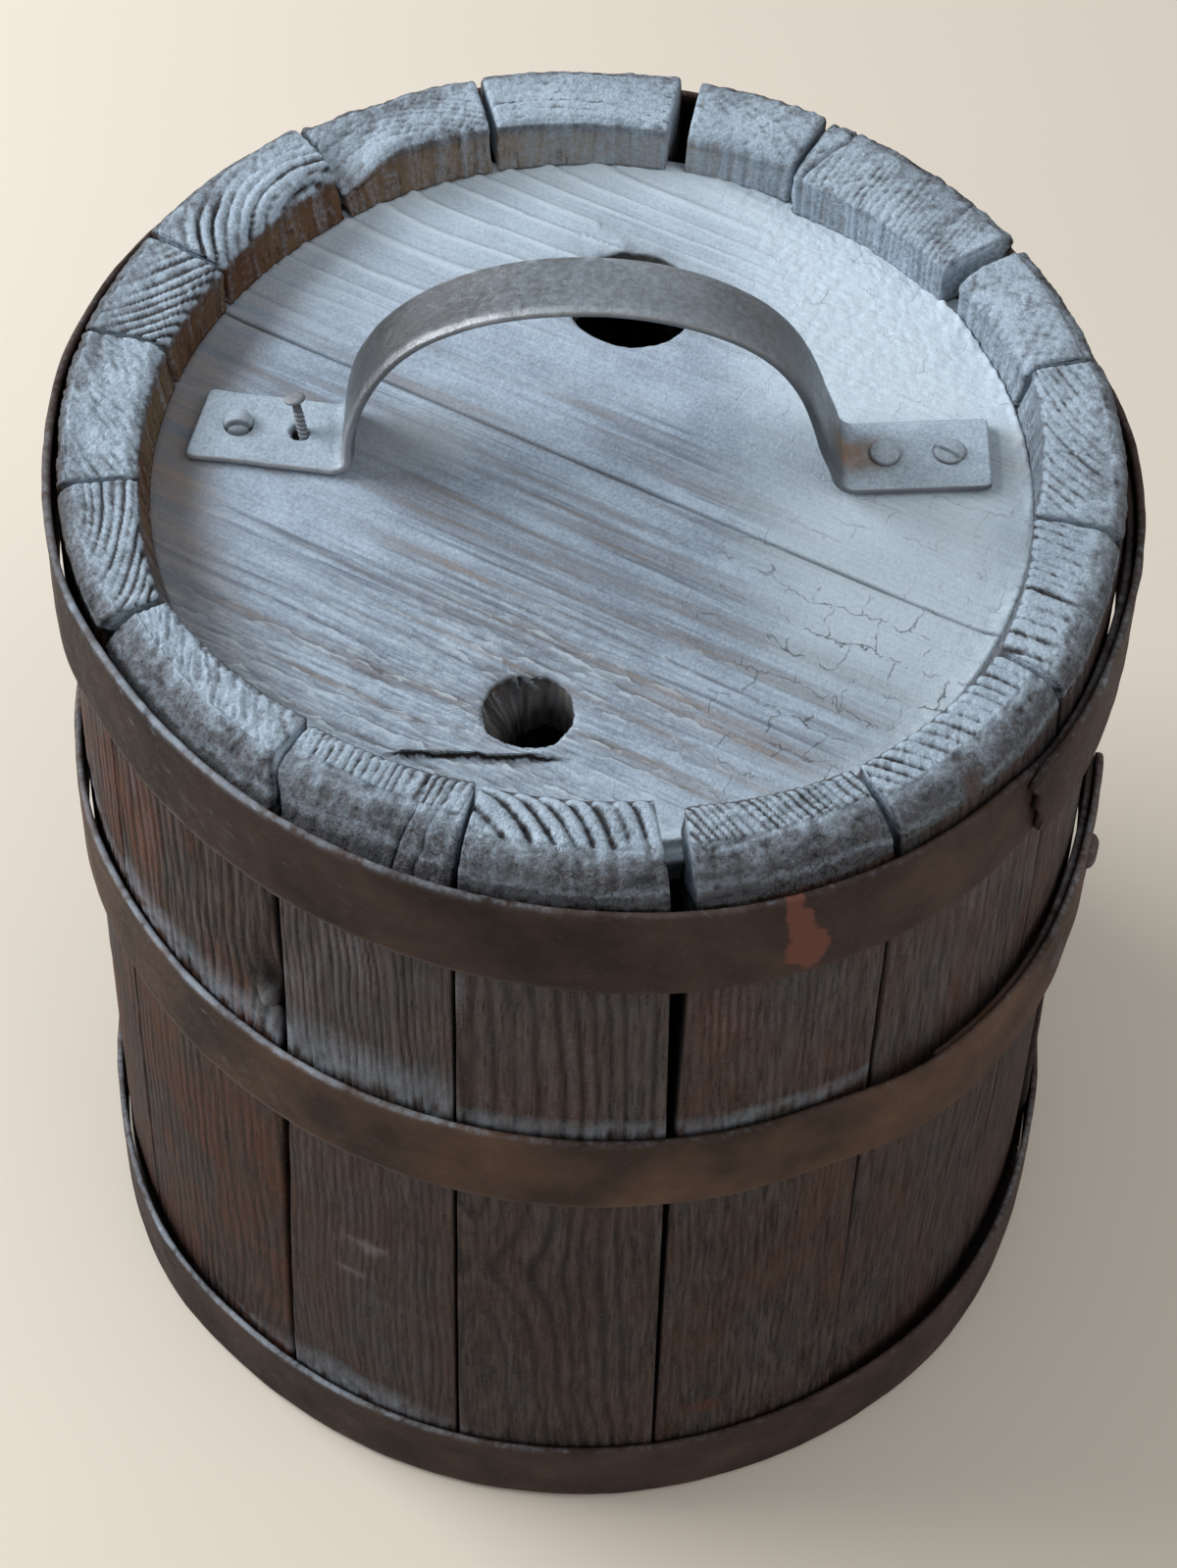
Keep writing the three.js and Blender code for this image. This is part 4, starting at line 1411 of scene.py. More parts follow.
        return height, clipped(stacked(bare, dark, warm, pale))

    def splinter(self, x: Array, y: Array, height: Array, dark: Array) -> Arrays:
        """Lifts the wood behind a split near the front of the board and darkens the split: its gap and the
        painted shadow under the lifted lip.

        Args:
            x, y: places on the board.
            height, dark: height of the face and share of dark cracks so far.

        Returns:
            The height and the share of dark cracks with the split in them.
        """
        along, back = x - self.split[0], y - self.split[1] - 0.9 * smooth(x / 7.0, 0.5, self.seed + 20)
        inside = ease(-19.0, -15.0, along) * ease(19.0, 12.0, along)
        lifted = inside * ease(-0.35, 0.35, back) * np.exp(-np.clip(back, 0.0, None) / 9.0)
        # The dark line is the split's gap with the painted shadow under the lifted lip.
        return height + 1.6 * lifted, np.maximum(dark, 0.4 * inside * hump(back + 0.5, 0.7))

    def torn_share(self, px: Array, py: Array) -> Array:
        """Share from 0 to 1 of the torn side of the hole at a place given from the hole's centre."""
        bearing = np.degrees(np.arctan2(py, px)) + self.turn
        return facing(bearing, self.hole.torn_towards, self.TORN_TURN) * (self.hole.torn > 0.0)

    def hole_centre(self) -> Pair:
        """Returns the hole's centre along and across the seam."""
        angle = radians(self.hole.bearing)
        return self.local(self.hole.distance * cos(angle), self.hole.distance * sin(angle))

    def lift(self, along: Array, over: Array, height: Array) -> Array:
        """Returns points in X, Y and Z for places on the board and heights over its plain face."""
        x, y = self.world(along, over)
        return stacked(x, y, self.face + self.up * height)

    def frame_round(self, along: Array, over: Array) -> tuple[Array, Bounds]:
        """Leaves room for the hole in the board's grid.

        Args:
            along, over: the board's grid.

        Returns:
            The cells that stay, and the rows and columns that the room lies between.
        """
        cx, cy = self.hole_centre()
        room = self.hole.radius * (1.0 + self.hole.ragged) + 3.0
        near_row = np.abs(over[:, 0] - cy) < room
        rows = np.flatnonzero(near_row)
        near = np.abs(along[near_row] - cx) < room
        columns = np.flatnonzero(near.any(0))
        bounds = (rows[0], rows[-1], columns[0], columns[-1])
        keep = np.ones((along.shape[0] - 1, along.shape[1] - 1), bool)
        keep[rows[0]:rows[-1], columns[0]:columns[-1]] = False
        return keep, bounds

    def ring_of(self, grid: Array, bounds: Bounds) -> Array:
        """Returns the values of a grid along the border of the room, once round."""
        a, b, c, d = bounds
        return np.concatenate([
            grid[a, c:d], grid[a:b, d], grid[b, d:c:-1], grid[b:a:-1, c], grid[a:a + 1, c],
        ])

    def build(self, finish: Material) -> None:
        """Builds the board: a face and an underside on one grid, walls at the seam and rim, and the hole.

        Args:
            finish: the head wood.
        """
        along, over = self.plan()
        height, coat = self.relief(along, over)
        depth = -self.under(along, over)
        skin = Skin()
        keep = bounds = None
        if self.hole:
            keep, bounds = self.frame_round(along, over)
        skin.grid(self.lift(along, over, height), coat, keep=keep)
        skin.grid(self.lift(along, over, depth), self.INSIDE_COAT, keep=keep)
        steps = np.linspace(0.0, 1.0, 5)[:, None]
        for part in (np.s_[0, :], np.s_[:, 0], np.s_[:, -1]):
            wall = between(height[part], depth[part], steps)
            skin.grid(self.lift(along[part], over[part], wall), self.EDGE_COAT)
        if self.hole:
            self.pierce(skin, along, over, bounds)
        skin.piece(f"{self.node}_worn", Body.CASK, Slot.HEAD, finish, self.node)

    def pierce(self, skin: Skin, along: Array, over: Array, bounds: Bounds) -> None:
        """Adds what lies between the room and the hole on both faces, and the hole's wall.

        Args:
            skin: the board's grids.
            along, over: the board's grid.
            bounds: rows and columns that the room lies between.
        """
        cx, cy = self.hole_centre()
        border_along, border_over = self.ring_of(along, bounds), self.ring_of(over, bounds)
        angle = np.arctan2(border_over - cy, border_along - cx)
        edge = self.torn_edge(angle)
        down = np.linspace(0.0, 1.0, self.WALL_ROWS)[:, None]
        grain = fractal(angle * 8.0, 2.5 * down, self.seed + 12, 3)
        torn = self.torn_share(np.cos(angle), np.sin(angle)) * ease(0.0, 0.65, down)
        spread = (
            edge + (1.0 - down) * down * (1.2 + 2.6 * grain) - self.hole.torn * torn * (0.85 + 0.3 * grain)
        )
        steps = (np.linspace(0.0, 1.0, self.PATCH_ROWS) ** 0.75)[:, None]
        upper, lower = (
            (
                between(border_along, cx + hem * np.cos(angle), steps),
                between(border_over, cy + hem * np.sin(angle), steps),
            )
            for hem in (edge, spread[-1])
        )
        height, coat = self.relief(*upper)
        depth = -self.under(*lower)
        skin.grid(self.lift(*upper, height), coat)
        skin.grid(self.lift(*lower, depth), self.HOLE_COAT)
        wall = between(height[-1], depth[-1], down)
        # The hole's wall: dark torn wood, darker towards the bottom as painted shade, with dust on one side.
        shade = 0.74 + 0.25 * ease(0.1, 0.9, down) + 0.6 * grain
        dusty = 0.6 * facing(np.degrees(angle) + self.turn, *self.DUSTY_HOLE)
        dusty = dusty * ease(0.75, 0.2, down) * (1.0 + grain)
        tone = stacked(0.6, shade * (1.0 - 0.7 * dusty), 0.95 - 0.3 * down, dusty)
        skin.grid(self.lift(cx + spread * np.cos(angle), cy + spread * np.sin(angle), wall), clipped(tone))


@dataclass(frozen=True)
class Hoop:
    """A flat strip that runs once round the keg and on over its own first end."""

    body: Body
    foot: float
    lap_end: float
    run: int
    rivet_backs: Pair
    askew: float = 0.0
    stands_off: tuple[Triple, ...] = ()
    rusts: tuple[Four, ...] = ()
    seed: int = 0
    torn: float = 0.3
    sag: float = 0.0
    width: float = 27.5
    thickness: float = 1.8
    lap_turn: float = 45.0
    rivet_rise: float = 2.4
    ramp: float = 15.0
    high_side: float = 180.0
    iron: Iron = Iron.HOOP

    STEP = 0.5
    SAGGING = (126.0, 32.0)
    LIT_LEFT = (222.0, 34.0)
    LIT_RIGHT = (340.0, 12.0)
    INSIDE = 12
    OUTSIDE = 24
    LIFT = 0.3
    RIVET_RADIUS = 4.5
    RIVET_COAT = (0.08, 0.15, 0.2, 0.0)

    def level(self, bearing: Array) -> Array:
        """Height of the strip's foot at a bearing: a tilt towards the high side."""
        return self.foot + self.askew * np.cos(np.radians(bearing - self.high_side))

    def section(self) -> Arrays:
        """Runs once round the strip's section, with rounded corners.

        Returns:
            Shares out and up.
        """
        inside, outside = np.linspace(0.03, 0.97, self.INSIDE), np.linspace(0.97, 0.03, self.OUTSIDE)
        up = np.concatenate([inside, [0.99, 1.0, 1.0, 0.99], outside, [0.01, 0.0, 0.0, 0.01]])
        corner = [0.10, 0.35, 0.65, 0.90]
        return np.concatenate([0.0 * inside, corner, 1.0 + 0.0 * outside, corner[::-1]]), up

    def build(self, finish: Material) -> None:
        """Builds the strip: its section carried round the cone and lifted over its own end, and its rivets.

        Args:
            finish: the hoop iron.
        """
        whole = 360.0 + self.lap_turn
        turned_by = np.linspace(0.0, whole, int(whole / self.STEP) + 1)[:, None]
        low = self.lap_end - whole if self.run > 0 else self.lap_end
        bearing = low + turned_by
        travelled = turned_by if self.run > 0 else whole - turned_by
        out, up = (v[None, :] for v in self.section())
        layer = self.thickness + KEG.fit
        lift = layer * ease(360.0 - self.ramp, 360.0, travelled)
        for centre, width, amount in self.stands_off:
            lift = lift + amount * facing(bearing, centre, width)
        tip = np.clip(whole - travelled, 0.0, None)
        narrow = 1.0 - 0.30 * (1.0 - clipped(tip / 2.6)) ** 2
        narrow = narrow * (1.0 - 0.2 * ease(self.lap_turn + 4.0, self.lap_turn - 4.0, travelled))
        torn = self.torn * (1.2 * smooth(up * 4.0, 0.5, self.seed + 9) + 1.6 * (up - 0.6)) * hump(tip, 4.0)
        bearing = bearing + self.run * torn
        wave = 0.35 * smooth(bearing / 13.0, 0.5, self.seed) + 0.12 * smooth(bearing / 3.0, 2.5, self.seed)
        middle = self.level(bearing) + self.width / 2 - self.sag * facing(bearing, *self.SAGGING)
        z = middle + (up - 0.5) * self.width * narrow + wave * (0.4 + 0.6 * up)
        dents = 0.22 * fractal(bearing / 4.0, up * 3.0, self.seed + 1, 3) * (out > 0.5)
        nick = 0.14 * clipped(fractal(bearing / 0.9, up * 8.0, self.seed + 2, 3)) * (np.abs(up - 0.5) > 0.47)
        radius = KEG.outer(z) + WARP.at(bearing, z) + self.LIFT + lift + out * self.thickness + dents - nick
        angle = np.radians(bearing)
        points = wound(radius, angle, z)
        skin = Skin()
        coat = self.coat(bearing, out, up)
        skin.grid(points.transpose(1, 0, 2), coat.transpose(1, 0, 2), wrap=True)
        steps = np.linspace(0.0, 1.0, 3)[:, None, None]
        step = np.arange(out.size // 2)
        near, far = (self.INSIDE + 3 - step) % out.size, (self.INSIDE + 4 + step) % out.size
        for loop, tone in zip(points[[0, -1]], coat[[0, -1]]):
            skin.grid(between(loop[near], loop[far], steps), between(tone[near], tone[far], steps))
        name = self.body.value
        skin.piece(f"{name}_strip", self.body, Slot.HOOP, finish, name)
        for number, back in enumerate(self.rivet_backs, 1):
            self.rivet(f"{name}_rivet_{number}", back, finish)

    def coat(self, bearing: Array, out: Array, up: Array) -> Array:
        """Shares of dust with painted sheen, rust, worn edges with painted highlights, and dark with painted
        shade over the strip.

        Args:
            bearing: bearings of the stations.
            out, up: shares out and up of the section.

        Returns:
            Four shares at each point.
        """
        broad = fractal(bearing / 14.0, up * 2.0, self.seed + 3, 3)
        fine = fractal(bearing / 1.4, up * 16.0, self.seed + 4, 3)
        edge = ease(0.44, 0.5, np.abs(up - 0.5))
        # Painted light: where the window catches the strip, on the left and a little on the right, its upper
        # edge and flecks are paler as painted sheen and its worn edges brighter as painted highlights, over
        # real dust and wear.
        lit = facing(bearing, *self.LIT_LEFT) + 0.4 * facing(bearing, *self.LIT_RIGHT)
        dust = (0.05 + 0.4 * lit) * ease(0.97, 1.0, up) * (0.85 + 0.3 * fine)
        dust_and_sheen_flecks = ease(0.45, 0.7, fine + 0.15 * lit) * ease(0.0, 0.5, broad + 0.3 * lit)
        dust = dust + (0.08 + 0.25 * lit) * dust_and_sheen_flecks * ease(0.3, 1.0, up)
        rust = 0.10 * ease(0.2, 0.8, broad)
        for centre, height, wide, tall in self.rusts:
            arc = np.radians(turned(bearing, centre)) * KEG.outer(self.foot)
            spread = np.hypot(arc / wide, (up - height) * self.width / tall) + 0.22 * fine
            rust = np.maximum(rust, 0.9 * ease(1.2, 0.8, spread))
        worn = (0.06 + 0.5 * lit) * edge * ease(-0.8, 0.2, fine) + 0.2 * lit * dust_and_sheen_flecks
        dark = 0.9 * (1.0 - ease(0.0, 0.5, out)) * (1.0 - ease(0.9, 1.0, up))
        # Painted shade on the left side of the strip.
        dark = dark + 0.45 * facing(bearing, *PAINTED_SHADE_SIDE) * (1.0 - edge)
        return clipped(stacked(dust, rust, worn, dark))

    def rivet(self, node: str, back: float, finish: Material) -> None:
        """Builds a hammered rivet: a dome of slightly uneven radius, square on the strip, over a short shank.

        Args:
            node: the solid that it stands for.
            back: distance back from the lap's free end.
            finish: the hoop iron.
        """
        middle = self.foot + self.width / 2
        reach = KEG.outer(middle)
        bearing = self.lap_end - self.run * degrees(back / reach)
        level = float(self.level(np.array(bearing))) + self.width / 2
        slope = atan((KEG.foot_radius - KEG.rim_radius) / KEG.length)
        base = KEG.outer(level) + float(WARP.at(np.array(bearing), np.array(level))) + self.LIFT
        base = base + 2 * (self.thickness + KEG.fit) - 0.25
        share = np.linspace(0.0, 1.0, 14)[:, None]
        angle = np.linspace(0.0, 2.0 * pi, 41)[None, :]
        hammer = 1.0 + 0.06 * smooth(2.0 * np.cos(angle) + share, 2.0 * np.sin(angle), self.seed + 20)
        rise = self.rivet_rise * np.sqrt(clipped(1.0 - share**2)) * (1.0 - 0.18 * hump(share, 0.35))
        dome = wound(self.RIVET_RADIUS * share * hammer, angle, rise)
        drop = np.array([0.0, 3.0, 3.0])[:, None]
        girth = np.array([1.0, 0.6, 0.0])[:, None]
        stem = stacked(girth * dome[-1, :, 0], girth * dome[-1, :, 1], -drop)
        aim = radians(bearing)
        turn = np.array(Matrix.Rotation(aim, 3, "Z") @ Matrix.Rotation(pi / 2 - slope, 3, "Y"))
        centre = np.array([base * cos(aim), base * sin(aim), level])
        skin = Skin()
        for part in (dome, stem):
            skin.grid(part @ turn.T + centre, self.RIVET_COAT)
        skin.piece(f"{node}_dome", self.body, Slot.HOOP, finish, node)


@dataclass(frozen=True)
class Handle:
    """The bent strap on the upper head, with a foot at each end."""

    width: float = 20.0
    thickness: float = 2.5
    foot: float = 30.0
    end_clearance: float = 9.2
    setback: float = 7.0
    slant: float = 0.0165
    splay: float = 0.1
    arch: float = 52.0
    bend: float = 4.0
    outer_inset: float = 9.0
    inner_inset: float = 23.3
    loose_hole: float = 2.0
    twist: float = 11.0
    raised: float = 1.6
    slump: float = 3.0
    end_skew: float = 0.2

    STEP = 0.55
    ACROSS = 38
    EDGE_ROUND = 0.9

    def reach(self) -> float:
        """Returns the distance from the keg's axis to each end of the strap."""
        return KEG.inner(KEG.head_level) - self.end_clearance

    def back(self, x: Array) -> Array:
        """Place along Y of the strap's middle: aslant, with both feet splayed to the back."""
        past = np.clip(np.abs(x) - (self.reach() - self.foot), 0.0, None)
        return self.setback - self.slant * x + self.splay * past

    def line(self) -> Arrays:
        """Middle line of the strap: foot, quarter bend, half ellipse, quarter bend and foot, evenly spaced.

        Returns:
            Places along X and Z, and the strap's outward direction in X and Z.
        """
        middle = KEG.head_level + KEG.fit + self.thickness / 2
        reach = self.reach()
        bend_at = reach - self.foot
        leg_at = bend_at - self.bend
        spring = middle + self.bend
        rise = KEG.head_level + self.arch - self.thickness / 2 - spring
        quarter = np.linspace(0.0, pi / 2, 40)
        half = np.linspace(0.0, pi / 2, 160)
        x = np.concatenate([[-reach], -bend_at + self.bend * np.sin(quarter), -leg_at * np.cos(half)[1:]])
        z = np.concatenate([[middle], spring - self.bend * np.cos(quarter), spring + rise * np.sin(half)[1:]])
        x, z = np.concatenate([x, -x[-2::-1]]), np.concatenate([z, z[-2::-1]])
        run = np.concatenate([[0.0], np.cumsum(np.hypot(np.diff(x), np.diff(z)))])
        even = np.linspace(0.0, run[-1], int(run[-1] / self.STEP))
        x, z = np.interp(even, run, x), np.interp(even, run, z)
        above = z - middle
        x = x - self.slump * ease(0.0, 15.0, above) * ease(46.0, 18.0, above) * (x > 0.0)
        slope_x, slope_z = np.gradient(x), np.gradient(z)
        long = np.hypot(slope_x, slope_z)
        return x, z, -slope_z / long, slope_x / long

    def build(self, finish: Material) -> None:
        """Builds the strap: a rounded flat section carried along its line, pitted, and twisted at the arch.

        Args:
            finish: the strap iron.
        """
        x, z, out_x, out_z = (v[:, None] for v in self.line())
        lane = np.linspace(-1.0, 1.0, self.ACROSS)
        edge = np.linspace(0.0, pi, 9)[1:-1]
        over = np.concatenate([lane, 1.0 + 0.0 * edge, lane[::-1], -1.0 + 0.0 * edge])[None, :]
        flat = np.ones(self.ACROSS)
        lift = np.concatenate([flat, np.cos(edge), -flat, -np.cos(edge)])[None, :]
        bulge = np.concatenate([0.0 * flat, np.sin(edge), 0.0 * flat, -np.sin(edge)])[None, :]
        station = np.arange(x.size)[:, None] * self.STEP
        last = station[-1, 0]
        from_end = np.minimum(station, last - station)
        upper = (lift > 0.9) * 1.0
        half_width = self.width / 2 - self.EDGE_ROUND
        trim = 1.0 - 0.06 * (1.0 - clipped(from_end / 1.6)) ** 2
        wave = 0.18 * smooth(station / 9.0, over * 0.5 + 3.0, 31)
        across = over * half_width * trim + bulge * self.EDGE_ROUND + wave * np.abs(over) ** 4
        crown = 1.0 - 0.28 * np.abs(over) ** 10
        pits = 0.17 * np.clip(fractal(station / 2.4, over * 4.0, 33, 3), -1.0, 0.2)
        pits = pits * ease(30.0, 44.0, from_end) * ease(0.0, 0.25, 0.75 - station / last)
        pits = pits + 0.04 * fractal(station / 1.6, over * 6.0, 34, 3)
        high = lift * self.thickness / 2 * crown + pits * upper
        loose_x = -(self.reach() - self.inner_inset)
        hole = np.hypot(x - loose_x + 0.7, across + 0.3) - self.loose_hole
        high = high - upper * 2.2 * ease(0.35, -0.15, hole)
        turn = ease(0.20, 0.36, station / last) * ease(0.82, 0.62, station / last)
        tilt = np.radians(self.twist) * turn
        high = high - across * np.sin(tilt) + self.raised * turn
        askew = self.end_skew * across * ease(10.0, 0.0, station)
        points = stacked(x + out_x * high + askew, self.back(x) + across * np.cos(tilt), z + out_z * high)
        coat = self.coat(x, station / last, from_end, over, lift, upper, hole)
        skin = Skin()
        skin.grid(points.transpose(1, 0, 2), coat.transpose(1, 0, 2), wrap=True)
        count = self.ACROSS
        inside = np.arange(-4, count + 3)
        outside = np.arange(2 * count + 9, count + 2, -1)
        steps = np.linspace(0.0, 1.0, 4)[:, None, None]
        for loop, tone in zip(points[[0, -1]], coat[[0, -1]]):
            skin.grid(
                between(loop[inside], loop[outside], steps), between(tone[inside], tone[outside], steps)
            )
        skin.piece("handle_strap", Body.CASK, Slot.STRAP, finish, "handle")

    def coat(
        self, x: Array, share: Array, from_end: Array, over: Array, lift: Array, upper: Array, hole: Array
    ) -> Array:
        """Shares of dust, rust, worn edges with a painted highlight, and dark with painted shade over the
        strap.

        Args:
            x: places along X.
            share: share of the strap's length that is passed.
            from_end: distance to the nearer end.
            over, lift: places across and through the section, from -1 to 1.
            upper: 1 on the upper face.
            hole: distance to the edge of the loose screw's hole.

        Returns:
            Four shares at each point.
        """
        fine = fractal(x / 2.0, over * 5.0, 41, 3)
        dust = ease(38.0, 29.0, from_end) * (1.0 + 0.2 * fine) * upper
        dust = dust + 0.36 * upper * ease(0.3, 0.5, share) * ease(0.9, 0.5, share) * (0.9 + 0.15 * fine)
        nail = self.reach() - self.inner_inset
        stain = hump(np.hypot((x - nail + 7.0) / 1.3, over * 10.0 + 0.5), 5.6)
        stain = 1.1 * stain + 0.55 * hump(np.hypot(x - nail, over * 10.0), 6.5)
        rust = np.clip(stain * (0.8 + 0.5 * fine), 0.0, 0.9) * upper + 0.12 * (1.0 - upper)
        # Painted highlight along the front edge of the strap's left part.
        lower = ease(-0.80, -0.98, over) * ease(0.75, 0.3, share)
        worn = 0.4 * ease(0.82, 0.98, np.abs(over)) * ease(-0.2, 0.4, fine)
        worn = worn * ease(34.0, 44.0, from_end) * ease(0.6, 0.4, share)
        worn = np.maximum(worn, 0.75 * lower * (0.8 + 0.4 * fine))
        # Painted shade in the loose screw's hole, under the strap and on both rising sides of the arch.
        dark = ease(0.4, -0.2, hole) * upper + 0.35 * (lift < -0.9)
        dark = dark + 0.5 * hump(share - 0.29, 0.08) + 0.4 * hump(share - 0.74, 0.08)
        dust = dust * (1.0 - dark) * (1.0 - 0.7 * clipped(stain))
        return clipped(stacked(dust, rust, worn, dark))


@dataclass(frozen=True)
class Fixing:
    """A screw or nail through a foot of the strap: a domed head over a short shank, slotted for a screw."""

    node: str
    x: float
    y: float
    head: float
    height: float
    slot_turn: float | None = None
    slot_shift: float = 0.0
    slot_shade: float = 0.75
    rust: float = 0.1
    seed: int = 60

    SLOT_WIDTH = 0.9
    SLOT_DEPTH = 1.0
    SEAT = 271.9
    STEM_COAT = (0.1, 0.3, 0.0, 0.3)

    def build(self, finish: Material) -> None:
        """Builds the head: an ellipse's arc turned about its axis, less a straight slot, and a stub below.

        Args:
            finish: the fixing iron.
        """
        share = np.concatenate([np.linspace(0.0, 0.9, 30), np.linspace(0.92, 1.0, 8)])[:, None]
        angle = np.linspace(0.0, 2.0 * pi, 121)[None, :]
        uneven = 1.0 + 0.025 * smooth(1.5 * np.cos(angle), 1.5 * np.sin(angle), self.seed)
        radius = self.head / 2 * share * uneven
        x, y = radius * np.cos(angle), radius * np.sin(angle)
        rise = self.height * np.sqrt(clipped(1.0 - share**2.4)) * np.ones_like(angle)
        rise = rise + 0.05 * fractal(x * 1.2, y * 1.2, self.seed, 3)
        cut = np.zeros_like(rise)
        if self.slot_turn is not None:
            turn = radians(self.slot_turn)
            off = y * cos(turn) - x * sin(turn) - self.slot_shift
            cut = ease(self.SLOT_WIDTH / 2 + 0.15, self.SLOT_WIDTH / 2 - 0.15, np.abs(off))
        rise = np.maximum(rise - self.SLOT_DEPTH * cut, 0.05 * (1.0 - share))
        dome = stacked(self.x + x, self.y + y, self.SEAT + rise)
        girth = np.array([1.0, 0.45, 0.45, 0.0])[:, None]
        level = self.SEAT + rise[-1] * (girth == 1.0) + np.array([0.0, 0.0, -9.5, -11.5])[:, None]
        stem = stacked(self.x + girth * x[-1], self.y + girth * y[-1], level)
        # Painted shade: the slot and a thin ring where the head meets the strap are darker and less dusty.
        low, slot = ease(0.86, 1.0, share), self.slot_shade * cut
        coat = stacked(0.7 - 0.6 * slot - 0.5 * low, self.rust, 0.2, slot + 0.35 * low)
        skin = Skin()
        skin.grid(dome, coat)
        skin.grid(stem, self.STEM_COAT)
        skin.piece(f"{self.node}_head", Body.CASK, Slot.FIXING, finish, self.node)


@dataclass(frozen=True)
class LooseScrew:
    """The thin screw that has worked out of its hole and leans: a ribbed shank under a small flat head."""

    node: str
    x: float
    y: float
    lean: float = -10.0
    lean_back: float = 16.0
    diameter: float = 2.2
    length: float = 20.0
    head: float = 4.8
    stands: float = 8.2
    ribs: float = 1.15
    level: float = 271.8

    HEAD_COAT = (0.2, 0.1, 0.5, 0.1)

    def build(self, finish: Material) -> None:
        """Builds the screw: a profile with a winding rib, turned about a leaning axis and tapered to a point.

        Args:
            finish: the fixing iron.
        """
        down = np.linspace(0.0, self.length, 150)[:, None]
        angle = np.linspace(0.0, 2.0 * pi, 25)[None, :]
        wind = down / self.ribs - angle / (2.0 * pi)
        rib = 0.22 * (0.5 + 0.5 * np.cos(2.0 * pi * wind)) * ease(1.5, 3.5, down)
        radius = (self.diameter / 2 - 0.12 + rib) * ease(self.length + 0.4, self.length - 3.0, down)
        radius[-1] = 0.0
        shank = wound(radius, angle, self.stands - down)
        girth = np.array([0.0, 0.98, 1.0, 0.94, 0.7, 0.0])[:, None] * self.head / 2
        girth[0] = radius[0, 0]
        cap = wound(girth, angle, self.stands + np.array([0.0, 0.1, 0.3, 0.7, 0.9, 0.95])[:, None])
        aside = Matrix.Rotation(radians(self.lean), 3, "Y")
        turn = np.array(aside @ Matrix.Rotation(radians(-self.lean_back), 3, "X"))
        foot = np.array([self.x, self.y, self.level])
        skin = Skin()
        coat = stacked(0.45 * ease(0.05, 0.2, rib), 0.1, 0.3, 0.3 * (rib < 0.05))
        skin.grid(shank @ turn.T + foot, coat)
        skin.grid(cap @ turn.T + foot, self.HEAD_COAT)
        skin.piece(f"{self.node}_shank", Body.CASK, Slot.FIXING, finish, self.node)


@dataclass(frozen=True)
class Lamp:
    """A soft square lamp: its place and side in metres, its power in watts and its tint."""

    name: str
    place: Triple
    side: float
    power: float
    tint: Colour

    def hang(self, aim: Triple) -> None:
        """Hangs the lamp, turned to a place.

        Args:
            aim: the place that it faces, in metres.
        """
        data = bpy.data.lights.new(self.name, "AREA")
        data.size, data.energy, data.color = self.side, self.power, self.tint
        lamp = bpy.data.objects.new(self.name, data)
        lamp.location = self.place
        lamp.rotation_euler = (Vector(aim) - Vector(self.place)).to_track_quat("-Z", "Y").to_euler()
        bpy.context.scene.collection.objects.link(lamp)


@dataclass(frozen=True)
class Studio:
    """Pale floor, soft light and the camera. What the lamps and the floor are set by is in metres."""

    focal: float = 2850.0
    frame_height: float = 1599.0
    sensor: float = 36.0
    eye: Triple = (0.0, -398.2, 741.8)
    tilt: float = 56.146
    pan: float = 0.138
    roll: float = 1.6
    nearest: float = 0.01
    floor_reach: float = 6.0
    aim: Triple = (0.0, 0.0, 0.2)
    sky: Colour = (0.92, 0.97, 1.0)
    sky_strength: float = 0.48
    lamps: tuple[Lamp, ...] = (
        Lamp("window", (-1.25, 0.40, 0.98), 1.0, 33.0, (0.93, 0.97, 1.0)),
        Lamp("fill", (1.0, -0.6, 1.5), 1.4, 8.0, (1.0, 0.97, 0.94)),
    )

    def lay_floor(self) -> None:
        """Lays a plain pale floor under the keg."""
        far = self.floor_reach
        mesh = bpy.data.meshes.new("floor")
        mesh.from_pydata([(-far, -far, 0), (far, -far, 0), (far, far, 0), (-far, far, 0)], [], [(0, 1, 2, 3)])
        mesh.materials.append(FloorFinish().material())
        floor = bpy.data.objects.new("floor", mesh)
        bpy.context.scene.collection.objects.link(floor)

    def light(self) -> None:
        """Lights the keg softly from behind and the left, with a weaker fill and a grey sky."""
        world = bpy.data.worlds.new("soft_sky")
        world.use_nodes = True
        sky = world.node_tree.nodes["Background"]
        sky.inputs["Color"].default_value = (*self.sky, 1.0)
        sky.inputs["Strength"].default_value = self.sky_strength
        bpy.context.scene.world = world
        for lamp in self.lamps:
            lamp.hang(self.aim)

    def look(self) -> None:
        """Sets the camera where the keg was seen from, and plain colours."""
        tilt, pan, roll = (radians(v) for v in (self.tilt, self.pan, self.roll))
        level = Vector((sin(pan), cos(pan), 0.0))
        right = Vector((cos(pan), -sin(pan), 0.0))
        ahead = cos(tilt) * level - sin(tilt) * Vector((0.0, 0.0, 1.0))
        above = sin(tilt) * level + cos(tilt) * Vector((0.0, 0.0, 1.0))
        side = cos(roll) * right + sin(roll) * above
        up = cos(roll) * above - sin(roll) * right
        data = bpy.data.cameras.new("camera")
        data.sensor_width = self.sensor
        data.lens = self.focal / self.frame_height * self.sensor
        data.clip_start = self.nearest
        camera = bpy.data.objects.new("camera", data)
        turn = Matrix((side, up, -ahead)).transposed().to_4x4()
        camera.matrix_world = Matrix.Translation(Vector(self.eye) * MM) @ turn
        bpy.context.scene.collection.objects.link(camera)
        bpy.context.scene.camera = camera
        bpy.context.scene.view_settings.view_transform = "Standard"


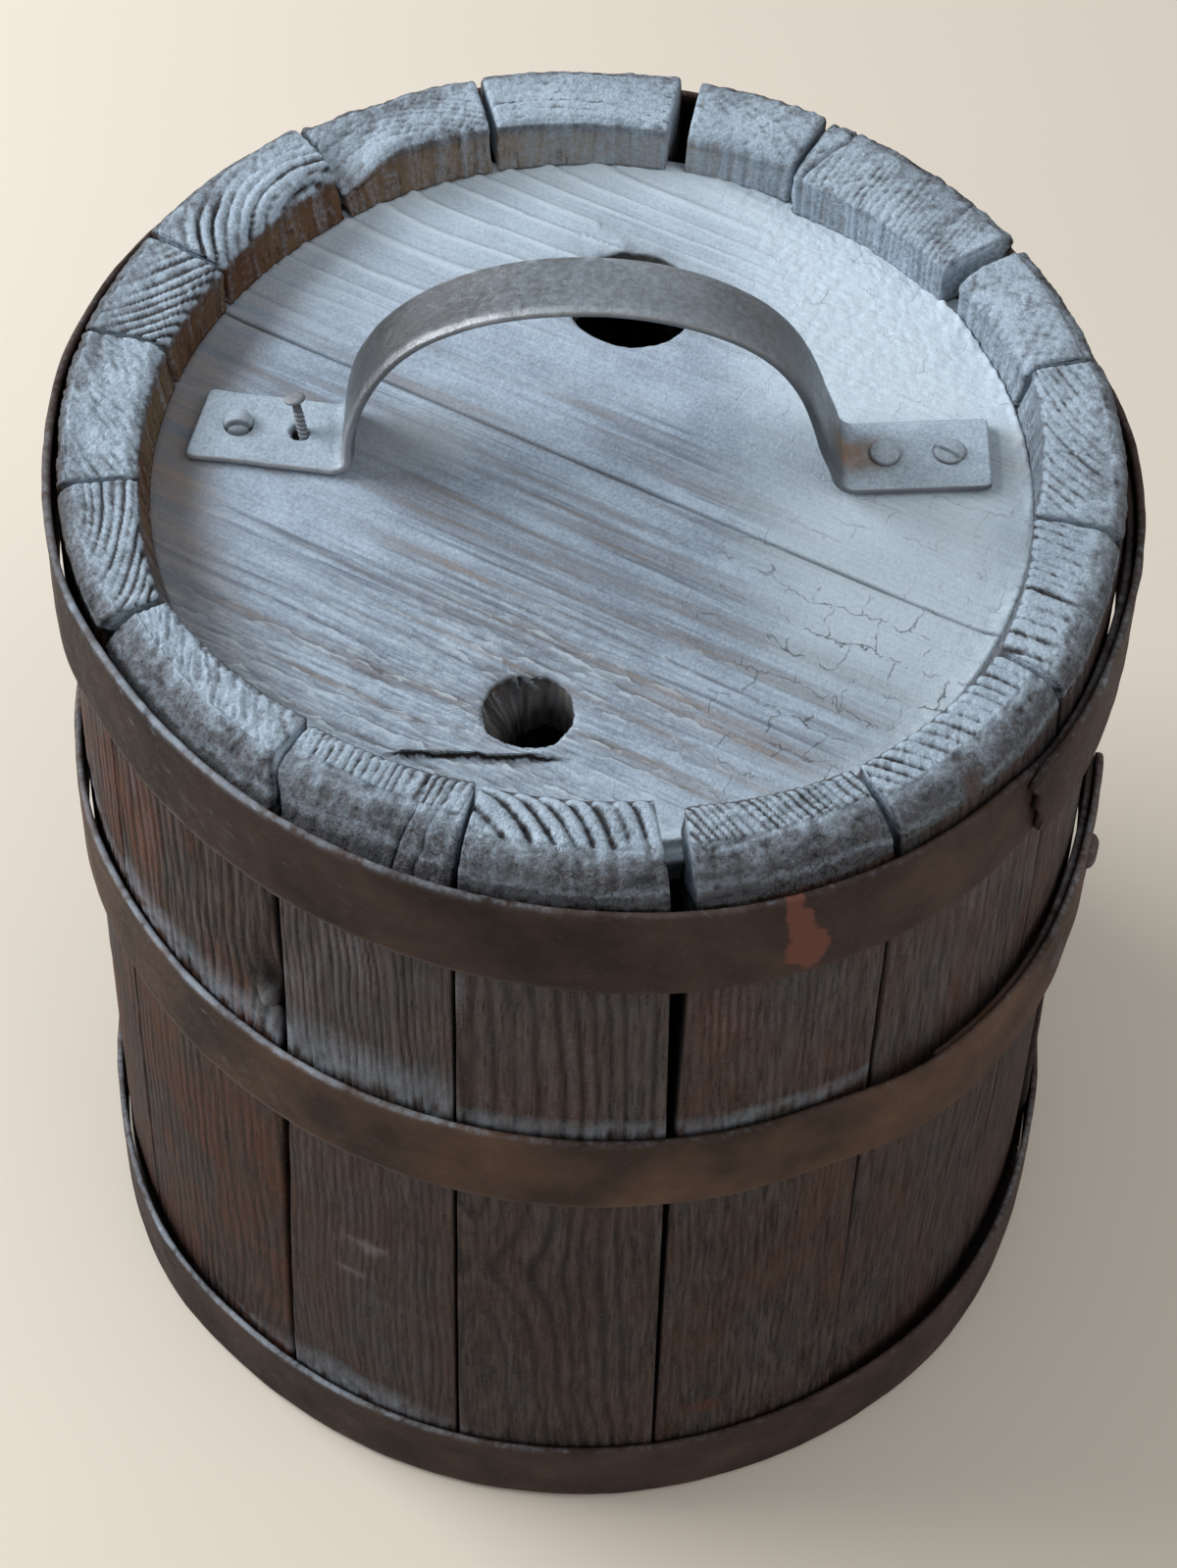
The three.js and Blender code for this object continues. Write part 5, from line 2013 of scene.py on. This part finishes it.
@dataclass
class Keg:
    """The whole keg, as its sub-assemblies in the order in which they are built.

    A seam is given by its bearing and by its width at the rim, the waist and the foot.
    """

    staves: list[Stave] = field(default_factory=list)
    boards: list[HeadBoard] = field(default_factory=list)
    hoops: list[Hoop] = field(default_factory=list)
    handle: Handle = field(default_factory=Handle)
    fixings: list[Fixing | LooseScrew] = field(default_factory=list)

    DOWELS = ("top_dowel_1", "top_dowel_2", "base_dowel_1", "base_dowel_2")
    SEAMS = (
        (13.5, 0.7, 0.6, 0.6), (33.0, 4.2, 1.8, 0.6), (62.0, 1.0, 0.8, 0.6), (79.5, 4.2, 1.8, 0.6),
        (105.0, 1.0, 0.8, 0.6), (127.5, 1.0, 0.8, 0.6), (150.5, 0.7, 0.6, 0.6), (166.0, 0.7, 0.6, 0.6),
        (188.5, 1.0, 0.8, 0.6), (208.0, 0.7, 0.6, 0.6), (234.3, 1.2, 2.2, 0.6), (257.0, 0.8, 0.8, 0.8),
        (280.0, 4.8, 1.6, 0.6), (302.5, 0.9, 0.8, 0.6), (327.0, 0.7, 0.6, 0.6), (348.5, 0.7, 0.6, 0.6),
    )
    WOODS = (
        dict(pith=(60.0, -40.0), pitch=2.6, ridge=0.15, rough=0.8, inset=(1.5, 0.0), bevel=6.0, round=5.0),
        dict(pith=(150.0, -20.0), pitch=1.9, ridge=0.25, rough=0.7, inset=(-1.0, -2.5), bevel=3.0, round=4.0,
             drop=0.6, splits=((21.0, 1.2), (-14.0, 0.8))),
        dict(pith=(40.0, -50.0), pitch=2.4, ridge=0.15, rough=0.7, inset=(0.8, 0.3), bevel=5.0, round=4.0),
        dict(pith=(8.0, -90.0), pitch=2.7, ridge=0.5, rough=0.6, inset=(0.2, 1.8), bevel=2.5, round=4.0,
             dusty=1.5),
        dict(pith=(15.0, -60.0), pitch=2.4, ridge=0.2, rough=1.0, inset=(2.2, 3.2), bevel=3.5, round=3.5,
             slump=8.0, stroked=0.6),
        dict(pith=(-8.0, -12.0), pitch=2.9, ridge=1.1, rough=0.35, inset=(3.0, 0.8), bevel=5.0, round=3.0,
             dusty=1.15),
        dict(pith=(-48.0, 75.0), pitch=2.5, ridge=0.8, rough=0.5, inset=(0.3, 1.3), bevel=3.5, round=3.0,
             drop=0.6),
        dict(pith=(60.0, 60.0), pitch=2.2, ridge=0.05, rough=0.9, inset=(1.3, 1.4), bevel=3.5, round=3.0,
             stroke=55.0, stroked=1.3),
        dict(pith=(-12.0, 32.0), pitch=2.6, ridge=0.6, rough=0.5, inset=(1.8, 4.0), round=4.5, red=1.2),
        dict(pith=(90.0, -60.0), pitch=2.3, ridge=0.15, rough=0.6, inset=(3.2, -1.8), round=8.5, red=1.7,
             light=-0.1, crisp=0.7, stroke=-38.0, stroked=1.4, end_skew=2.2, ledge=18.0,
             knots=(Knot(29.3, 206.0, 8.0, 2.5, 2.4),)),
        dict(pith=(-200.0, 10.0), pitch=2.0, ridge=0.45, rough=0.8, inset=(-1.2, -3.2), round=13.0, red=0.55,
             light=0.3, crisp=0.35, start_skew=2.2, ledge=24.0, splits=((9.5, 0.8), (14.5, 0.6)),
             scuffs=((2.0, 116.0, 9.0, 5.0), (6.5, 88.0, 11.0, 1.6), (-4.0, 100.0, 8.0, 1.2))),
        dict(pith=(-24.0, 22.0), pitch=4.0, ridge=1.25, rough=0.6, inset=(-3.3, -2.2), round=9.5, red=0.35,
             light=0.15, bevel=3.0, dusty=1.2, lined=0.85, knots=(Knot(-19.0, 124.0, 17.0, 9.0),)),
        dict(pith=(150.0, -40.0), pitch=1.9, ridge=0.45, rough=0.8, inset=(0.7, 4.0), round=10.0, red=0.6,
             stroke=62.0, stroked=0.6, ledge=8.0, dusty=0.8, lined=0.7,
             stains=(Stain(-13.0, 44.0, 9.0, 3.5),)),
        dict(pith=(-120.0, 40.0), pitch=3.2, ridge=1.1, rough=0.6, inset=(4.0, 4.5), round=8.0, red=0.5,
             slack=1.4, ledge=0.4, dusty=1.2, lined=0.45, stains=(Stain(-5.0, 279.5, 2.5, 4.0),)),
        dict(pith=(-160.0, 0.0), pitch=3.1, ridge=0.9, rough=0.5, inset=(4.2, -0.3), round=5.5, red=0.5,
             slack=1.8, ledge=0.4, dusty=1.2, lined=0.5),
        dict(pith=(70.0, 90.0), pitch=2.6, ridge=0.3, rough=0.4, inset=(-0.3, 2.5), round=4.5, red=0.4,
             stroke=30.0, stroked=0.9, cross=0.8, dusty=1.15, splits=((-3.0, 0.8),)),
    )

    def plan(self) -> None:
        """Lists every stave, board, hoop and fixing."""
        for i, wood in enumerate(self.WOODS):
            start, end = self.SEAMS[i], self.SEAMS[(i + 1) % len(self.SEAMS)]
            stop = end[0] if end[0] > start[0] else end[0] + 360.0
            self.staves.append(Stave(i + 1, start[0], stop, start[1:], end[1:], **wood))
        wall = KEG.inner(KEG.head_level)
        edge, foot_edge = (
            KEG.inner(level) + KEG.croze - KEG.play for level in (KEG.head_level, KEG.base_level + KEG.tongue)
        )
        top = {"face": KEG.head_level, "up": 1.0, "radius": edge, "turn": -27.0, "offset": 2.5}
        base = {"face": KEG.base_level, "up": -1.0, "radius": foot_edge, "turn": -38.0, "offset": -4.0}
        spout = Hole(
            bearing=259.0, distance=wall - 32.0, radius=9.75, ragged=0.10, torn_towards=140.0, torn=6.5
        )
        bung = Hole(bearing=81.5, distance=wall - 42.0, radius=15.0, ragged=0.02, stained=0.6)
        self.boards += [
            HeadBoard("top_board_front", side=-1.0, seed=300, hole=spout, split=(-22.0, -75.0), **top),
            HeadBoard("top_board_back", side=1.0, seed=340, hole=bung, **top),
            HeadBoard("base_board_front", side=-1.0, seed=380, coarse=2.0, **base),
            HeadBoard("base_board_back", side=1.0, seed=420, coarse=2.0, **base),
        ]
        self.hoops += [
            Hoop(Body.TOP_HOOP, foot=249.0, lap_end=-40.0, run=-1, rivet_backs=(70.0, 88.0), seed=500,
                 askew=4.5, torn=1.0, sag=3.2, rivet_rise=1.0,
                 stands_off=((346.0, 12.0, 0.2), (200.0, 9.0, 1.1)),
                 rusts=((292.4, 0.35, 4.7, 7.0), (291.4, 0.67, 2.9, 6.0), (290.6, 0.92, 1.9, 6.0))),
            Hoop(Body.MIDDLE_HOOP, foot=161.0, lap_end=-5.0, run=1, rivet_backs=(22.0, 52.0), seed=540,
                 stands_off=((318.0, 20.0, 1.9), (198.0, 10.0, 0.8)), iron=Iron.BROWN_HOOP),
            Hoop(Body.BOTTOM_HOOP, foot=1.5, lap_end=155.0, run=1, rivet_backs=(22.0, 52.0), seed=580,
                 stands_off=((320.0, 18.0, 2.0), (212.0, 14.0, 2.0)), lap_turn=40.0),
        ]
        back = self.handle.back
        outer = self.handle.reach() - self.handle.outer_inset
        inner = self.handle.reach() - self.handle.inner_inset
        self.fixings += [
            Fixing("handle_screw_left", -outer, back(-outer), head=6.8, height=3.2, slot_turn=4.0,
                   slot_shift=-1.9),
            Fixing("handle_nail_right", inner, back(inner), head=7.2, height=1.9, rust=0.2, seed=61),
            Fixing("handle_screw_right", outer, back(outer), head=7.4, height=1.3, slot_turn=-32.0,
                   slot_shift=-0.9, slot_shade=0.25, rust=0.05, seed=62),
            LooseScrew("handle_screw_loose", -inner, back(-inner)),
        ]

    def build(self) -> None:
        """Builds every piece with its finish, and gives the hidden dowels theirs."""
        stave_wood = StaveFinish().material()
        irons = {iron: iron.value.material() for iron in Iron}
        head_woods = {
            board.turn: HeadFinish(board.turn, board.split).material() for board in self.boards[::2]
        }
        for stave in self.staves:
            stave.build(stave_wood)
        for board in self.boards:
            board.build(head_woods[board.turn])
        for hoop in self.hoops:
            hoop.build(irons[hoop.iron])
        self.handle.build(irons[Iron.STRAP])
        for fixing in self.fixings:
            fixing.build(irons[Iron.FIXING])
        for node in self.DOWELS:
            self.dress(node)

    @staticmethod
    def dress(node: str) -> None:
        """Gives a hidden dowel its wood.

        Args:
            node: the dowel's solid.
        """
        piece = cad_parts[node]
        piece.data.materials.clear()
        piece.data.materials.append(DowelFinish().material(f"{node}_wood"))
        log.info("%s: dressed", node)


def main() -> None:
    """Sets the studio and builds the keg."""
    logging.basicConfig(level=logging.INFO, format="%(name)s: %(message)s")
    studio = Studio()
    studio.look()
    studio.light()
    studio.lay_floor()
    keg = Keg()
    keg.plan()
    keg.build()


if __name__ == "__main__":
    main()
